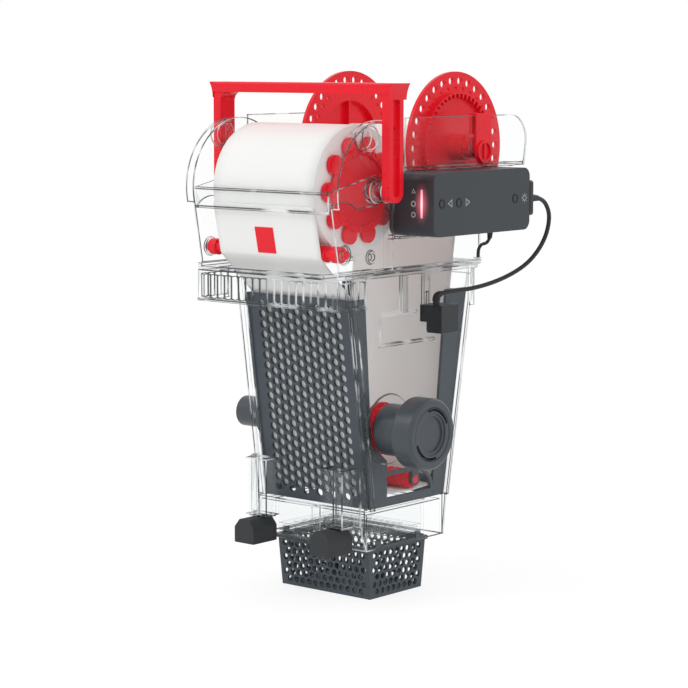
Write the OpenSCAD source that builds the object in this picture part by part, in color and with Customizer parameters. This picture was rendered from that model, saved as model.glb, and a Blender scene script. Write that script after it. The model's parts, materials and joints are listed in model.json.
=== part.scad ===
// Automatic fleece roller filter for an aquarium sump.
// A wedge-shaped clear chamber stands on a strainer basket. Fleece unwinds
// from the front roll, runs down behind the front screen, under the bottom
// roller, up behind the rear screen and onto the motor-driven take-up reel.
// Millimetres, +Z up, -Y is the front (comb side), +X is the motor side.
// The origin is the centre of the basket's bottom face.

/* [Basket] */
// Length of the basket's bottom
basket_len = 89.4; // [84:0.2:94]
// Depth of the basket's bottom
basket_dep = 62; // [58:0.5:66]
// Height of the basket's wall below its rim
basket_h = 37.5; // [32:0.5:40]
// How far each basket wall leans out over its height
basket_draft = 1.3; // [0.4:0.1:2]
// Thickness of the basket's walls
basket_wall = 1.8; // [1.2:0.1:2.6]
// Height of the basket's rim band
basket_rim_h = 3; // [2:0.5:7]
// How far the basket's rim stands out from the wall
basket_lip = 1.5; // [0.8:0.1:2.5]
// Spacing of the basket's drain holes
basket_pitch = 6.6; // [6:0.1:8]
// Diameter of the basket's drain holes
basket_hole = 5; // [3:0.1:5.4]

/* [Screens] */
// Width of the grey screen frames, side to side
frame_w = 106.4; // [100:0.2:110]
// Height of the screen frames
frame_h = 160; // [140:1:180]
// Depth of the wedge at its foot, front face to rear edge
wedge_foot = 89; // [84:0.5:94]
// How far the front screen leans forward over its height
front_lean = 22; // [14:0.5:26]
// How far the rear frame leans back over its height
rear_lean = 28; // [20:0.5:32]
// Thickness of a screen panel and of its side returns
screen_t = 2.5; // [1.8:0.1:3.2]
// Vertical spacing of the screen holes in one column
screen_pitch = 8; // [7:0.1:9]
// Diameter of the screen holes
screen_hole = 6.2; // [3:0.1:6.6]
// Plain margin above and below the field of holes
screen_margin = 7.5; // [6:0.5:14]

/* [Chamber] */
// Thickness of the clear chamber's walls
wall_t = 2.2; // [1.6:0.1:3]
// Gap between the screen frames and the chamber walls
wall_gap = 0.3; // [0.2:0.1:0.8]
// Height of the skirt from the chamber's foot to the frame's foot
skirt_h = 31; // [26:0.5:36]
// Height of the chamber above the screen frames
collar_h = 18.4; // [14:0.2:24]
// Thickness of the clear ledges and flanges
flange_t = 2.8; // [2:0.1:4]

/* [Legs] */
// Width of a leg sleeve
sleeve_w = 22.4; // [20:0.2:25]
// Depth of a leg sleeve
sleeve_d = 15.5; // [13:0.5:18]
// Height of a leg sleeve
sleeve_h = 44.5; // [38:0.5:52]
// Distance from the middle to the middle of each leg
leg_x = 38.2; // [34:0.2:42]
// Wall of the sleeves and of the hollow legs
sleeve_t = 1.6; // [1.2:0.1:2.2]
// Sliding clearance of a leg in its sleeve
leg_gap = 0.3; // [0.2:0.05:0.6]
// Width of a rubber foot
foot_w = 20; // [17:0.5:22]
// Depth of a rubber foot
foot_d = 27; // [22:0.5:32]
// Height of a rubber foot
foot_h = 18.5; // [13:0.5:20]

/* [Overflow comb] */
// Width of the comb
comb_w = 140; // [130:1:150]
// Height of the comb below the deck
comb_h = 23.4; // [18:0.2:28]
// Spacing of the comb's teeth
comb_pitch = 7.2; // [6:0.1:9]
// Width of one tooth
comb_tooth = 2.6; // [1.8:0.1:3.6]
// Thickness of the comb's wall
comb_t = 2; // [1.4:0.1:3]

/* [Fleece and rollers] */
// Radius of the new fleece roll
roll_r = 48.5; // [40:0.5:49]
// Width of the fleece
fleece_w = 100; // [92:0.5:100.6]
// Thickness of the fleece as modelled
fleece_t = 0.8; // [0.5:0.1:1.2]
// Outer radius of the card core in the roll
core_r = 17; // [14:0.5:20]
// Radius of the front guide roller
guide_r = 6; // [4:0.5:7]
// Radius of the ribbed bottom roller
bottom_r = 7.5; // [6:0.5:9]
// Radius of the fixed guide rods
rod_r = 3; // [2:0.5:4]
// Height of the roll's axis above the deck
spool_rise = 59.4; // [58:0.2:64]
// Radius of the flange that holds the roll
spool_flange_r = 35; // [30:0.5:38]
// Number of petals round the flange
petals = 10; // [6:1:12]

/* [Take-up reel] */
// Radius of the reel's side discs
disc_r = 57.5; // [50:0.5:58]
// Thickness of a side disc
disc_t = 3; // [2:0.1:4]
// Radius of the reel's drum
drum_r = 14; // [10.5:0.5:15.5]
// Outer radius of the fleece wound on the drum
wound_r = 16; // [16:0.5:30]
// Number of holes in each ring of holes
disc_holes = 30; // [18:1:32]
// Diameter of the outer ring's holes
disc_hole = 6; // [3:0.1:7]
// Teeth of the reel's internal ring gear
ring_teeth = 48; // [44:2:50]
// Teeth of the motor pinion
pinion_teeth = 12; // [11:1:13]
// Gear module, pitch diameter over teeth
gear_module = 1.6; // [1.5:0.05:1.65]

/* [Cheeks] */
// Thickness of the clear cheeks
cheek_t = 2.2; // [1.6:0.1:2.6]
// Radius of the front cheeks' rounded outline
cheek_r = 52; // [51:0.5:56]
// Height of the rear cheeks' shelf above the deck
shelf_rise = 73.4; // [72:0.2:78]
// Height of the rear cheeks above the shelf
rear_cheek_h = 39.5; // [32:0.5:46]

/* [Handle] */
// Distance from the pivot to the top of the bar
handle_h = 78.8; // [74:0.2:90]
// Depth of the bar, front to rear
handle_d = 20.5; // [16:0.5:21]
// Thickness of the bar
handle_t = 7.8; // [5:0.2:10]
// Width of the arms at the pivot
arm_w = 16; // [13:0.5:16.5]
// Thickness of the arms
arm_t = 7.2; // [5:0.2:8]
// Length of the slot in each arm
slot_len = 24; // [14:0.5:28]
// Width of the slot in each arm
slot_w = 6.2; // [4:0.2:7]
// Width of the raised rim round each arm's outer face
arm_rim = 4.2; // [2.5:0.1:4.6]
// Depth of the channel inside that rim
arm_channel = 3; // [1.5:0.1:3.6]
// Radius of the inner corners between the arms and the bar
handle_fillet = 7; // [3:0.5:8]

/* [Controller] */
// Width of the controller's box, side to side
ctrl_w = 42.4; // [38:0.2:50]
// Length of the controller's box, front to rear
ctrl_l = 118.5; // [110:0.5:119]
// Height of the controller's box
ctrl_h = 47.5; // [45:0.5:50]
// Corner radius of the controller's box
ctrl_r = 7; // [3:0.5:10]
// Wall of the controller's box
ctrl_t = 2.2; // [1.6:0.1:3]
// Radius of the push buttons
button_r = 3.4; // [2:0.1:3.6]
// Travel of the push buttons
button_travel = 0.8; // [0.4:0.1:1]

/* [Inlets] */
// Radius of the inlet collar
inlet_r = 19.6; // [17:0.2:22]
// Radius of the inlet spigot through the wall
spigot_r = 14; // [11:0.5:15]
// Bore radius of the inlet
inlet_bore_r = 11.2; // [8:0.2:12.6]
// Radius of the union nut
nut_r = 27; // [24:0.5:30]
// Length of the union nut
nut_l = 18.5; // [14:0.5:22]
// Radius of the left inlet's stub
stub_r = 12; // [9:0.5:14]

/* [Sensor] */
// Edge of the level sensor's block
sensor_s = 21; // [16:0.5:24]
// Diameter of the sensor cable
cable_d = 3.4; // [2.6:0.1:4.4]
// Diameter of the short lead
lead_d = 2.6; // [1.8:0.1:3.2]

/* [Hidden] */
$fn = 48;
e = 0.01;

// Running clearance of every journal in its bore
run_gap = 0.05;
// Gap kept between bodies that only pass each other
pass_gap = 0.3;

// ---- heights, from the floor up
rim_z1 = basket_h + basket_rim_h;
chamber_z0 = rim_z1 + 0.5;
frame_z0 = chamber_z0 + skirt_h;
frame_z1 = frame_z0 + frame_h;
deck_z0 = frame_z1 + collar_h;
deck_z1 = deck_z0 + 3.2;

// ---- the wedge, seen from the side (Y, Z)
front_y0 = -41;
rear_y0 = front_y0 + wedge_foot;
front_slope = front_lean / frame_h;
rear_slope = rear_lean / frame_h;
front_angle = atan(front_slope);
// Rear panel: set in from the rear edge of its frame
panel_y0 = rear_y0 - 3.5;
panel_slope = rear_slope * 0.63;
panel_angle = atan(panel_slope);
function yf(z) = front_y0 - (z - frame_z0) * front_slope;
function yr(z) = rear_y0 + (z - frame_z0) * rear_slope;
function yp(z) = panel_y0 + (z - frame_z0) * panel_slope;
function yfe(z) = yf(z) + 5 + (z - frame_z0) * front_slope * 0.5;
function yre(z) = rear_y0 - 14.5 + (z - frame_z0) * rear_slope * 0.61;

half_w = frame_w / 2;
frame_in = half_w - screen_t;
wall_in = half_w + wall_gap;
wall_out = wall_in + wall_t;
skirt_y0 = front_y0 - 7;
skirt_y1 = rear_y0 - 2;
neck_x = basket_len / 2 + basket_draft - basket_wall - pass_gap;
collar_y = basket_dep / 2 + basket_draft + 2 - basket_wall - pass_gap;
collar_drop = 6;
neck_t = 1.6;
neck_y0 = front_y0 + screen_t + 1.5;
neck_y1 = collar_y;

// ---- axes that run along X (Y, Z)
spool_y = -53;
spool_z = deck_z1 + spool_rise;
guide_y = -87;
guide_z = deck_z1 + 14.4;
roller_y = 13.5;
roller_z = frame_z0 + 16;
rod_z = roller_z - bottom_r + rod_r + 1.5;
rod_front_y = yf(rod_z) + screen_t + pass_gap + fleece_t + pass_gap + rod_r;
rod_rear_y = yp(rod_z) - screen_t - 2 * pass_gap - fleece_t - rod_r;
shelf_z = deck_z1 + shelf_rise;
shelf_t = 2.2;
reel_y = 59;
reel_z = shelf_z + 15;

// ---- positions across the part
fleece_x = fleece_w / 2;
flange_x0 = fleece_x + 0.3;
flange_x1 = flange_x0 + 3;
cheek_x0 = fleece_x + 17;
cheek_x1 = cheek_x0 + cheek_t;
band_w = 6.8;
side_x0 = fleece_x + 10;
side_x1 = side_x0 + cheek_t;
rear_x1 = fleece_x + 30;
rear_x0 = rear_x1 - cheek_t;
jog_y = -33;
rear_y1 = reel_y + disc_r + 1.5;
cheek_lean = 3;
boss_r = 8.5;
journal_r = 5;
guide_axle_r = 3;
arm_x0 = rear_x1 + 0.4;
arm_x1 = arm_x0 + arm_t;
pin_r = 4.5;
handle_z1 = spool_z + handle_h;

// ---- take-up reel
disc_x0 = fleece_x + 1.5;
disc_x1 = disc_x0 + disc_t;
hub_r = 10;
hub_l = 12;
saddle_l = 5.4;
stub_axle_r = 6;
ring_pitch_r = ring_teeth * gear_module / 2;
pinion_pitch_r = pinion_teeth * gear_module / 2;
pinion_z = reel_z - ring_pitch_r + pinion_pitch_r;
// Tooth height above and below the pitch line, half widths at root and tip
tooth_up = 0.8 * gear_module;
tooth_down = 1.35 * gear_module;
tooth_root = 0.85 * gear_module;
tooth_tip = 0.34 * gear_module;
ring_root_r = ring_pitch_r + tooth_down;
ring_out_r = ring_root_r + 1.1;
ring_tip_r = ring_pitch_r - tooth_up;
ring_face = side_x0 - 1.6 - disc_x1;
hole_ring_r = disc_r - 7;
small_ring_r = disc_r - 13;

// ---- controller
ctrl_x0 = side_x1 + 0.4;
ctrl_x1 = ctrl_x0 + ctrl_w;
ctrl_y0 = jog_y + 2;
ctrl_y1 = ctrl_y0 + ctrl_l;
ctrl_z1 = shelf_z - 0.3;
ctrl_z0 = ctrl_z1 - ctrl_h;
cover_x1 = ctrl_x0 + ctrl_t;
button_z = ctrl_z0 + ctrl_h / 2 + 0.7;
button_y = [ctrl_y0 + 9.7, ctrl_y0 + 30.2, ctrl_y0 + 99.8];
board_x1 = ctrl_x1 - 6.4;
board_t = 1.6;
lens_x = ctrl_x1 - 11.5;
lens_w = 2;
lens_h = 21;
plug_x = ctrl_x1 - 8;
plug_z = button_z - 0.5;
plug_t = 4.5;
boss_l = 6;
gland_l = 0.8;

// ---- inlets
inlet_z = frame_z0 + 60;
inlet_y = yfe(inlet_z) + 17.125;
nut_x0 = wall_out + 24.5;
nut_x1 = nut_x0 + nut_l;
lock_t = 3.4;

// ---- legs
sleeve_y1 = skirt_y0 - 5.5;
sleeve_y0 = sleeve_y1 - sleeve_d;
foot_z1 = chamber_z0 - 0.3 + foot_h;
sleeve_z0 = foot_z1 + 1.3;
sleeve_z1 = sleeve_z0 + sleeve_h;
foot_y1 = sleeve_y1 - 2;
foot_y0 = foot_y1 - foot_d;

// ---- comb
comb_y1 = -96;
comb_y0 = comb_y1 - comb_t;
comb_z0 = deck_z0 - comb_h;
deck_step_y = -58;

// ---- sensor
hook_t = 2.6;
sensor_x0 = wall_out + hook_t + pass_gap;
sensor_x1 = sensor_x0 + sensor_s;
sensor_y0 = 11;
sensor_z0 = frame_z1 - 29;
sensor_z1 = sensor_z0 + sensor_s;
cable_x = sensor_x0 + 10.4;
cable_y = sensor_y0 + 7;
sensor_gland = 3.4;
clip_h = 2.6;

// Route of the sensor cable, from the plug to the sensor's gland
CABLE = [
  [97, 98, 302], [97, 106, 302], [96.5, 114, 300.5], [96, 121, 296.5],
  [95.5, 126, 289], [94.5, 127, 280], [93, 124.5, 270], [90, 119, 259.5],
  [86, 110, 250], [81.5, 96, 242.5], [77.5, 77, 237], [74, 57, 234],
  [71, 38, 233], [69.6, 26, 232.4], [69, 19.5, 231], [69, 18, 229], [69, 18, 227.4]
];
// Route of the short lead, from the controller's underside to its clip
LEAD = [
  [82, 67.6, 278.4], [82, 67.6, 275.6], [81.4, 67.9, 272.6], [79.5, 68.7, 270],
  [76.8, 69.9, 268.2], [73.5, 71.4, 267.3], [70.2, 72.9, 266.4], [67.5, 74.1, 264.6],
  [65.6, 74.9, 262], [65, 75.2, 259], [65, 75.2, 256.2]
];

// ================= helpers =================

// Extrudes a (Y, Z) outline along +X from x0 to x1
module yz(x0, x1) {
  translate([x0, 0, 0]) rotate([90, 0, 90]) linear_extrude(x1 - x0) children();
}

// Extrudes an (X, Z) outline along +Y from y0 to y1
module xz(y0, y1) {
  translate([0, y1, 0]) rotate([90, 0, 0]) linear_extrude(y1 - y0) children();
}

// Extrudes an (X, Y) outline along +Z from z0 to z1
module xy(z0, z1) {
  translate([0, 0, z0]) linear_extrude(z1 - z0) children();
}

module box(x0, x1, y0, y1, z0, z1) {
  translate([x0, y0, z0]) cube([x1 - x0, y1 - y0, z1 - z0]);
}

module xcyl(x0, x1, y, z, r) {
  translate([x0, y, z]) rotate([0, 90, 0]) cylinder(h = x1 - x0, r = r);
}

module xtube(x0, x1, y, z, r, ri) {
  difference() {
    xcyl(x0, x1, y, z, r);
    xcyl(x0 - 1, x1 + 1, y, z, ri);
  }
}

module both() {
  children();
  mirror([1, 0, 0]) children();
}

// Flat rectangle with round corners
module rrect(x0, x1, y0, y1, r) {
  translate([x0 + r, y0]) square([x1 - x0 - 2 * r, y1 - y0]);
  translate([x0, y0 + r]) square([x1 - x0, y1 - y0 - 2 * r]);
  for (x = [x0 + r, x1 - r])
    for (y = [y0 + r, y1 - r])
      translate([x, y]) circle(r);
}

module rect(x0, x1, y0, y1) {
  translate([x0, y0]) square([x1 - x0, y1 - y0]);
}

// Closed section of a truncated pyramid between two rectangles
module frustum(bx, by, tx, ty, z0, z1) {
  intersection() {
    xz(-ty - 1, ty + 1) polygon([[-bx, z0], [bx, z0], [tx, z1], [-tx, z1]]);
    yz(-tx - 1, tx + 1) polygon([[-by, z0], [by, z0], [ty, z1], [-ty, z1]]);
  }
}

// Gear outline with straight-flanked teeth
module gear2d(n, root, tip, wr, wt) {
  circle(root);
  for (i = [0 : n - 1])
    rotate(i * 360 / n)
      polygon([[-wr, root - 0.6], [wr, root - 0.6], [wt, tip], [-wt, tip]]);
}

// ---- the web's path: a belt laid round circles [y, z, r], outside on the right
function belt_angle(a, b) =
  atan2(b[1] - a[1], b[0] - a[0])
  - acos((a[2] - b[2]) / norm([b[0] - a[0], b[1] - a[1]]));
function on_circle(c, a) = [c[0] + c[2] * cos(a), c[1] + c[2] * sin(a)];
function turn(a0, a1) = (a1 - a0) - 360 * round((a1 - a0) / 360);
function arc_pts(c, a0, a1) =
  let (t = turn(a0, a1), n = ceil(abs(t) / 12))
  c[2] == 0 || n < 1 ? [on_circle(c, a0)]
  : [for (i = [0 : n]) on_circle(c, a0 + t * i / n)];
function belt_in(cs, i) = belt_angle(cs[max(i, 1) - 1], cs[max(i, 1)]);
function belt_out(cs, i) = belt_angle(cs[min(i, len(cs) - 2)], cs[min(i, len(cs) - 2) + 1]);
function belt(cs) =
  [for (i = [0 : len(cs) - 1]) for (p = arc_pts(cs[i], belt_in(cs, i), belt_out(cs, i))) p];
function unit(v) = v / norm(v);
function dir_at(p, i) =
  unit(unit(p[min(i + 1, len(p) - 1)] - p[min(i, len(p) - 2)])
     + unit(p[max(i, 1)] - p[max(i - 1, 0)]));
function offset_pt(p, i, d) =
  let (u = dir_at(p, i)) [p[i][0] - u[1] * d, p[i][1] + u[0] * d];
function ribbon(p, t) = concat(
  [for (i = [0 : len(p) - 1]) offset_pt(p, i, t / 2)],
  [for (i = [len(p) - 1 : -1 : 0]) offset_pt(p, i, -t / 2)]
);
web_off = pass_gap + fleece_t / 2;
WEB = [
  [spool_y, spool_z, roll_r + web_off],
  [guide_y, guide_z, guide_r + web_off],
  [yf(frame_z1) + screen_t + web_off, frame_z1 + 1.5, 0],
  [rod_front_y, rod_z, rod_r + web_off],
  [roller_y, roller_z, bottom_r + web_off],
  [rod_rear_y, rod_z, rod_r + web_off],
  [yp(frame_z1) - screen_t - web_off, frame_z1 + 1.5, 0],
  [reel_y, reel_z, wound_r + web_off]
];
web_path = belt(WEB);

// ---- cords: a round tube swept along a route, cut square at both ends
function ring_at(p, d, r, n, side) =
  let (u = unit(side - d * (side * d)), v = cross(d, u))
  [for (k = [0 : n - 1]) p + r * (u * cos(360 * k / n) + v * sin(360 * k / n))];
function bezier(a, b, c, d, t) =
  a * pow(1 - t, 3) + b * 3 * t * pow(1 - t, 2) + c * 3 * t * t * (1 - t) + d * t * t * t;
function smooth_route(p, m) = [
  for (i = [0 : len(p) - 2])
    let (a = p[i], d = p[i + 1],
         ta = (p[min(i + 1, len(p) - 1)] - p[max(i - 1, 0)]) / 6,
         td = (p[min(i + 2, len(p) - 1)] - p[i]) / 6)
    for (k = [0 : (i == len(p) - 2 ? m : m - 1)])
      bezier(a, a + ta, d - td, d, k / m)
];
module tube(points, steps, d, n, side) {
  route = smooth_route(points, steps);
  m = len(route);
  z = len(points) - 1;
  first = unit(points[1] - points[0]);
  last = unit(points[z] - points[z - 1]);
  pts = [for (i = [0 : m - 1])
    let (u = i == 0 ? first : i == m - 1 ? last : dir_at(route, i))
      for (q = ring_at(route[i], u, d / 2, n, side)) q];
  polyhedron(
    points = pts,
    faces = concat(
      [[for (k = [n - 1 : -1 : 0]) k]],
      [for (i = [0 : m - 2])
        for (k = [0 : n - 1])
          [i * n + k, i * n + (k + 1) % n, (i + 1) * n + (k + 1) % n, (i + 1) * n + k]],
      [[for (k = [0 : n - 1]) (m - 1) * n + k]]
    )
  );
}

// ================= clear chamber =================

module side_wall_outline() {
  polygon([
    [skirt_y0, chamber_z0], [skirt_y1, chamber_z0],
    [yr(frame_z0) + 1.5, frame_z0], [yr(deck_z0) + 1.5, deck_z0],
    [yf(deck_z0) - 2.5, deck_z0], [yf(sleeve_z1) - 2.5, sleeve_z1],
    [sleeve_y1, sleeve_z1], [sleeve_y1, sleeve_z0 - 6]
  ]);
}

// Sloping rail beside a screen, in the (Y, Z) plane
module front_rail() {
  polygon([
    [yf(frame_z0) - 2.7, frame_z0], [yf(frame_z0) - 0.5, frame_z0],
    [yf(deck_z0) - 0.5, deck_z0], [yf(deck_z0) - 2.7, deck_z0]
  ]);
}

module rear_rail() {
  polygon([
    [yr(frame_z0) + 0.3, frame_z0], [yr(frame_z0) + 2.5, frame_z0],
    [yr(deck_z0) + 2.5, deck_z0], [yr(deck_z0) + 0.3, deck_z0]
  ]);
}

module leg_sleeve() {
  x0 = leg_x - sleeve_w / 2;
  x1 = leg_x + sleeve_w / 2;
  difference() {
    box(x0, x1, sleeve_y0, sleeve_y1, sleeve_z0, sleeve_z1);
    box(x0 + sleeve_t, x1 - sleeve_t, sleeve_y0 + sleeve_t, sleeve_y1 - sleeve_t,
        sleeve_z0 - 1, sleeve_z1 + 1);
  }
  box(x1 - e, wall_out, sleeve_y1 - sleeve_t, sleeve_y1, sleeve_z0, sleeve_z1);
}

module chamber() color([0.86, 0.92, 0.94, 0.4]) {
  difference() {
    union() {
      both() {
        yz(wall_in, wall_out) side_wall_outline();
        yz(half_w - 2.7, wall_out + 4) front_rail();
        yz(half_w - 2.7, wall_out + 1.6) rear_rail();
        // flange that carries the deck
        box(wall_in, wall_out + 5.6, yf(deck_z0) - 2.5, yr(deck_z0) + 1.5,
            deck_z0 - flange_t, deck_z0);
        leg_sleeve();
      }
      // rear bar of the flange
      box(-wall_in - e, wall_in + e, yr(deck_z0) + 0.3, yr(deck_z0) + 3.5,
          deck_z0 - 8, deck_z0);
      // ledge under the screen frames and the outlet neck that hangs from it
      box(-wall_in - e, wall_in + e, skirt_y0, skirt_y1, frame_z0 - flange_t, frame_z0);
      box(-neck_x - neck_t, neck_x + neck_t, neck_y0 - neck_t, neck_y1 + neck_t,
          chamber_z0, frame_z0 - flange_t + e);
      // collar that the basket slips over
      box(-neck_x, neck_x, -collar_y, collar_y, chamber_z0 - collar_drop, chamber_z0 + e);
      // front and rear skirt walls
      box(-wall_in - e, wall_in + e, skirt_y0, skirt_y0 + wall_t,
          chamber_z0, frame_z0 - flange_t + e);
      box(-wall_in - e, wall_in + e, skirt_y1 - wall_t, skirt_y1,
          chamber_z0, frame_z0 - flange_t + e);
      // middle gusset between the front skirt and the neck
      box(-0.9, 0.9, skirt_y0 + 1, neck_y0 - 1, chamber_z0 + 7, frame_z0 - flange_t + e);
      // pads that thicken the walls round the inlets
      both() xcyl(wall_in + 0.4, wall_out + 1.2, inlet_y, inlet_z, inlet_r + 7);
      // rail and end stop that the level sensor's block is held in
      box(wall_out - e, wall_out + 2, sensor_y0 - 46, sensor_y0 + sensor_s,
          sensor_z0 - 8, sensor_z0 - 6);
      box(wall_out - e, wall_out + 2, sensor_y0 - 46, sensor_y0 - 1,
          sensor_z0 + 15, sensor_z0 + 17);
      box(wall_out - e, wall_out + 2, sensor_y0 - 46, sensor_y0 - 44,
          sensor_z0 - 8, sensor_z0 + 17);
      // two hooks under the flange
      for (y = [-9.8, 16.7])
        box(wall_out - e, wall_out + hook_t, y, y + 7.2, sensor_z0 + 15.5, deck_z0 - flange_t + e);
      // corner strip behind the flange
      box(wall_out - e, wall_out + 5.6, yr(deck_z0) - 4.5, yr(deck_z0) - 2.5,
          deck_z0 - 32, deck_z0 - flange_t + e);
    }
    // way down through the neck and the collar, with a lip for the diffuser
    box(-neck_x, neck_x, neck_y0, neck_y1, chamber_z0 + flange_t, frame_z0 + 1);
    box(-neck_x + neck_t, neck_x - neck_t, -collar_y + neck_t, collar_y - neck_t,
        chamber_z0 - collar_drop - 1, chamber_z0 + flange_t + 1);
    // holes for the inlet spigots
    both() xcyl(wall_in - 1, wall_out + 3, inlet_y, inlet_z, spigot_r + 0.1);
    // slot in the second hook
    box(wall_out + 0.4, wall_out + 4, 19, 22, sensor_z0 + 18, sensor_z0 + 30);
  }
}

module deck_outline() {
  rect(-comb_w / 2, comb_w / 2, comb_y0, deck_step_y);
  rect(-side_x1, side_x1, deck_step_y - 2, yr(deck_z0) + 4);
}

module deck() color([0.86, 0.92, 0.94, 0.4]) {
  difference() {
    xy(deck_z0, deck_z1) deck_outline();
    box(-frame_in - 1.5, frame_in + 1.5, comb_y1 + 3, yr(deck_z0) - 4,
        deck_z0 - 1, deck_z1 + 1);
  }
  // bearers that the front cheeks stand on
  both() box(cheek_x0 - 1.2, comb_w / 2, comb_y0, deck_step_y, deck_z1 - e, deck_z1 + 2.4);
}

module comb_slots(n) {
  for (i = [0 : n - 1])
    rect((i - n / 2) * comb_pitch + comb_tooth / 2, (i + 1 - n / 2) * comb_pitch - comb_tooth / 2,
         comb_z0 + 3, deck_z0 - 3.2);
}

module overflow_comb() color([0.86, 0.92, 0.94, 0.4]) {
  n_front = floor((comb_w - 6) / comb_pitch);
  n_side = 4;
  side_len = n_side * comb_pitch;
  difference() {
    union() {
      box(-comb_w / 2, comb_w / 2, comb_y0, comb_y1, comb_z0, deck_z0);
      both() box(comb_w / 2 - comb_t, comb_w / 2, comb_y0, comb_y1 + side_len + 3,
                 comb_z0, deck_z0);
      // beads along the foot
      box(-comb_w / 2 - 0.8, comb_w / 2 + 0.8, comb_y0 - 0.8, comb_y1, comb_z0, comb_z0 + 1.6);
    }
    xz(comb_y0 - 1, comb_y1 + 1) comb_slots(n_front);
    yz(-comb_w, comb_w)
      translate([comb_y1 + side_len / 2 + 1, 0]) comb_slots(n_side);
  }
}

// ================= clear cheeks =================

module front_cheek_outline() {
  intersection() {
    translate([spool_y, spool_z]) circle(cheek_r);
    rect(spool_y - cheek_r - 1, jog_y, spool_z - cheek_r, spool_z + cheek_r + 1);
  }
  polygon([
    [comb_y0 + 2.5, deck_z1 + 2.4], [spool_y - cheek_r + 1.4, spool_z - 12],
    [spool_y, spool_z], [jog_y, spool_z], [jog_y, deck_z1 + 2.4]
  ]);
}

// Curved band round the front of a cheek
module band_outline() {
  intersection() {
    translate([spool_y, spool_z]) difference() {
      circle(cheek_r);
      circle(cheek_r - 1.8);
    }
    polygon([
      [spool_y, spool_z], [spool_y - 90, spool_z - 20], [spool_y - 90, spool_z + 90],
      [spool_y - 14, spool_z + 90]
    ]);
  }
}

module rear_cheek_outline() {
  z1 = shelf_z + rear_cheek_h;
  corner_r = 20;
  rect(jog_y, rear_y1 - corner_r, shelf_z, z1);
  polygon([
    [jog_y, shelf_z], [rear_y1 - cheek_lean, shelf_z],
    [rear_y1, z1 - corner_r], [jog_y, z1 - corner_r]
  ]);
  translate([rear_y1 - corner_r, z1 - corner_r]) circle(corner_r);
}

// Cheek on the +X side; the left one is its mirror without the motor's fittings
module cheek(motor) {
  difference() {
    union() {
      yz(cheek_x0, cheek_x1) front_cheek_outline();
      yz(cheek_x1 - e, cheek_x1 + band_w) band_outline();
      // ring boss above the roll
      xtube(cheek_x1 - e, cheek_x1 + band_w, spool_y - 15, spool_z + 39.5, 10, 8.2);
      // inner boss for the spool's journal and the guard's ring
      xcyl(cheek_x0 - 4, cheek_x0 + e, spool_y, spool_z, boss_r);
      // outer boss and pin for the handle
      xcyl(cheek_x1 - e, arm_x0 - 0.5, spool_y, spool_z, boss_r);
      xcyl(arm_x0 - 0.5 - e, arm_x0 + 2.6, spool_y, spool_z, pin_r);
      // boss for the guide roller's journal
      xcyl(cheek_x0 - 2, cheek_x0 + e, guide_y, guide_z, 7);
      // small locating boss
      xcyl(cheek_x1 - e, cheek_x1 + 2, spool_y - 7.5, deck_z1 + 11.5, 5);
      // step between the front cheek and the rear side wall
      box(side_x0, cheek_x1, jog_y - 2, jog_y, deck_z1, shelf_z + e);
      yz(side_x0, side_x1) rect(jog_y - e, ctrl_y1 + 1, shelf_z - 50, shelf_z + e);
      yz(side_x0, side_x1) rect(jog_y - e, yr(deck_z0) + 3, deck_z1, shelf_z - 49);
      // shelf over the controller and the rear cheek on it
      box(side_x0, rear_x1, jog_y - 2, rear_y1 - cheek_lean, shelf_z, shelf_z + shelf_t);
      box(cheek_x0, rear_x1, jog_y - 2, jog_y, shelf_z, spool_z + cheek_r - 7);
      yz(rear_x0, rear_x1) rear_cheek_outline();
      // saddle that the reel's axle runs in
      xcyl(rear_x1 - saddle_l, rear_x1, reel_y, reel_z, hub_r);
      if (motor) {
        // ledge and lip that hold the controller
        box(side_x0, ctrl_x0 + 12, jog_y, ctrl_y1 - 30, ctrl_z0 - 2.3, ctrl_z0 - 0.1);
        box(side_x0, ctrl_x0 + 7, jog_y - 2, jog_y, ctrl_z0 - 2.3, ctrl_z0 + 24);
      }
    }
    // journals: blind for the spool, through for the guide roller
    xcyl(cheek_x0 - 5, cheek_x1 + 0.2, spool_y, spool_z, journal_r + run_gap);
    xcyl(cheek_x0 - 3, cheek_x1 + 1, guide_y, guide_z, guide_axle_r + run_gap);
    xcyl(cheek_x1 - 1, cheek_x1 + 3, spool_y - 7.5, deck_z1 + 11.5, 2.5);
    // open slot that the reel's axle drops into
    xcyl(rear_x1 - saddle_l - 1, rear_x1 + 1, reel_y, reel_z, stub_axle_r + run_gap);
    box(rear_x1 - saddle_l - 1, rear_x1 + 1, reel_y - stub_axle_r - run_gap,
        reel_y + stub_axle_r + run_gap, reel_z, shelf_z + rear_cheek_h + 1);
    if (motor) {
      xcyl(side_x0 - 1, side_x1 + 1, reel_y, pinion_z, pinion_pitch_r + 2.2);
    }
  }
}

module cheek_right() color([0.86, 0.92, 0.94, 0.4]) cheek(true);
module cheek_left() color([0.86, 0.92, 0.94, 0.4]) mirror([1, 0, 0]) cheek(false);

// ================= grey screens =================

// Staggered grid of holes drilled square through a leaning panel
module panel_holes(y_at, slope, angle, sign) {
  step = screen_pitch * sin(60);
  cols = floor((frame_w - 22) / step / 2) * 2;
  rows = floor((frame_h - 2 * screen_margin) / screen_pitch) + 1;
  first_z = frame_z0 + (frame_h - (rows - 1) * screen_pitch) / 2;
  for (i = [0 : cols - 1])
    for (j = [0 : rows - 1 - i % 2]) {
      x = (i - (cols - 1) / 2) * step;
      z = first_z + j * screen_pitch + (i % 2) * screen_pitch / 2;
      y = y_at + sign * (z - frame_z0) * slope;
      translate([x, y, z]) rotate([90 - sign * angle, 0, 0])
        cylinder(h = 4 * screen_t, d = screen_hole, center = true, $fn = 16);
    }
}

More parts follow.
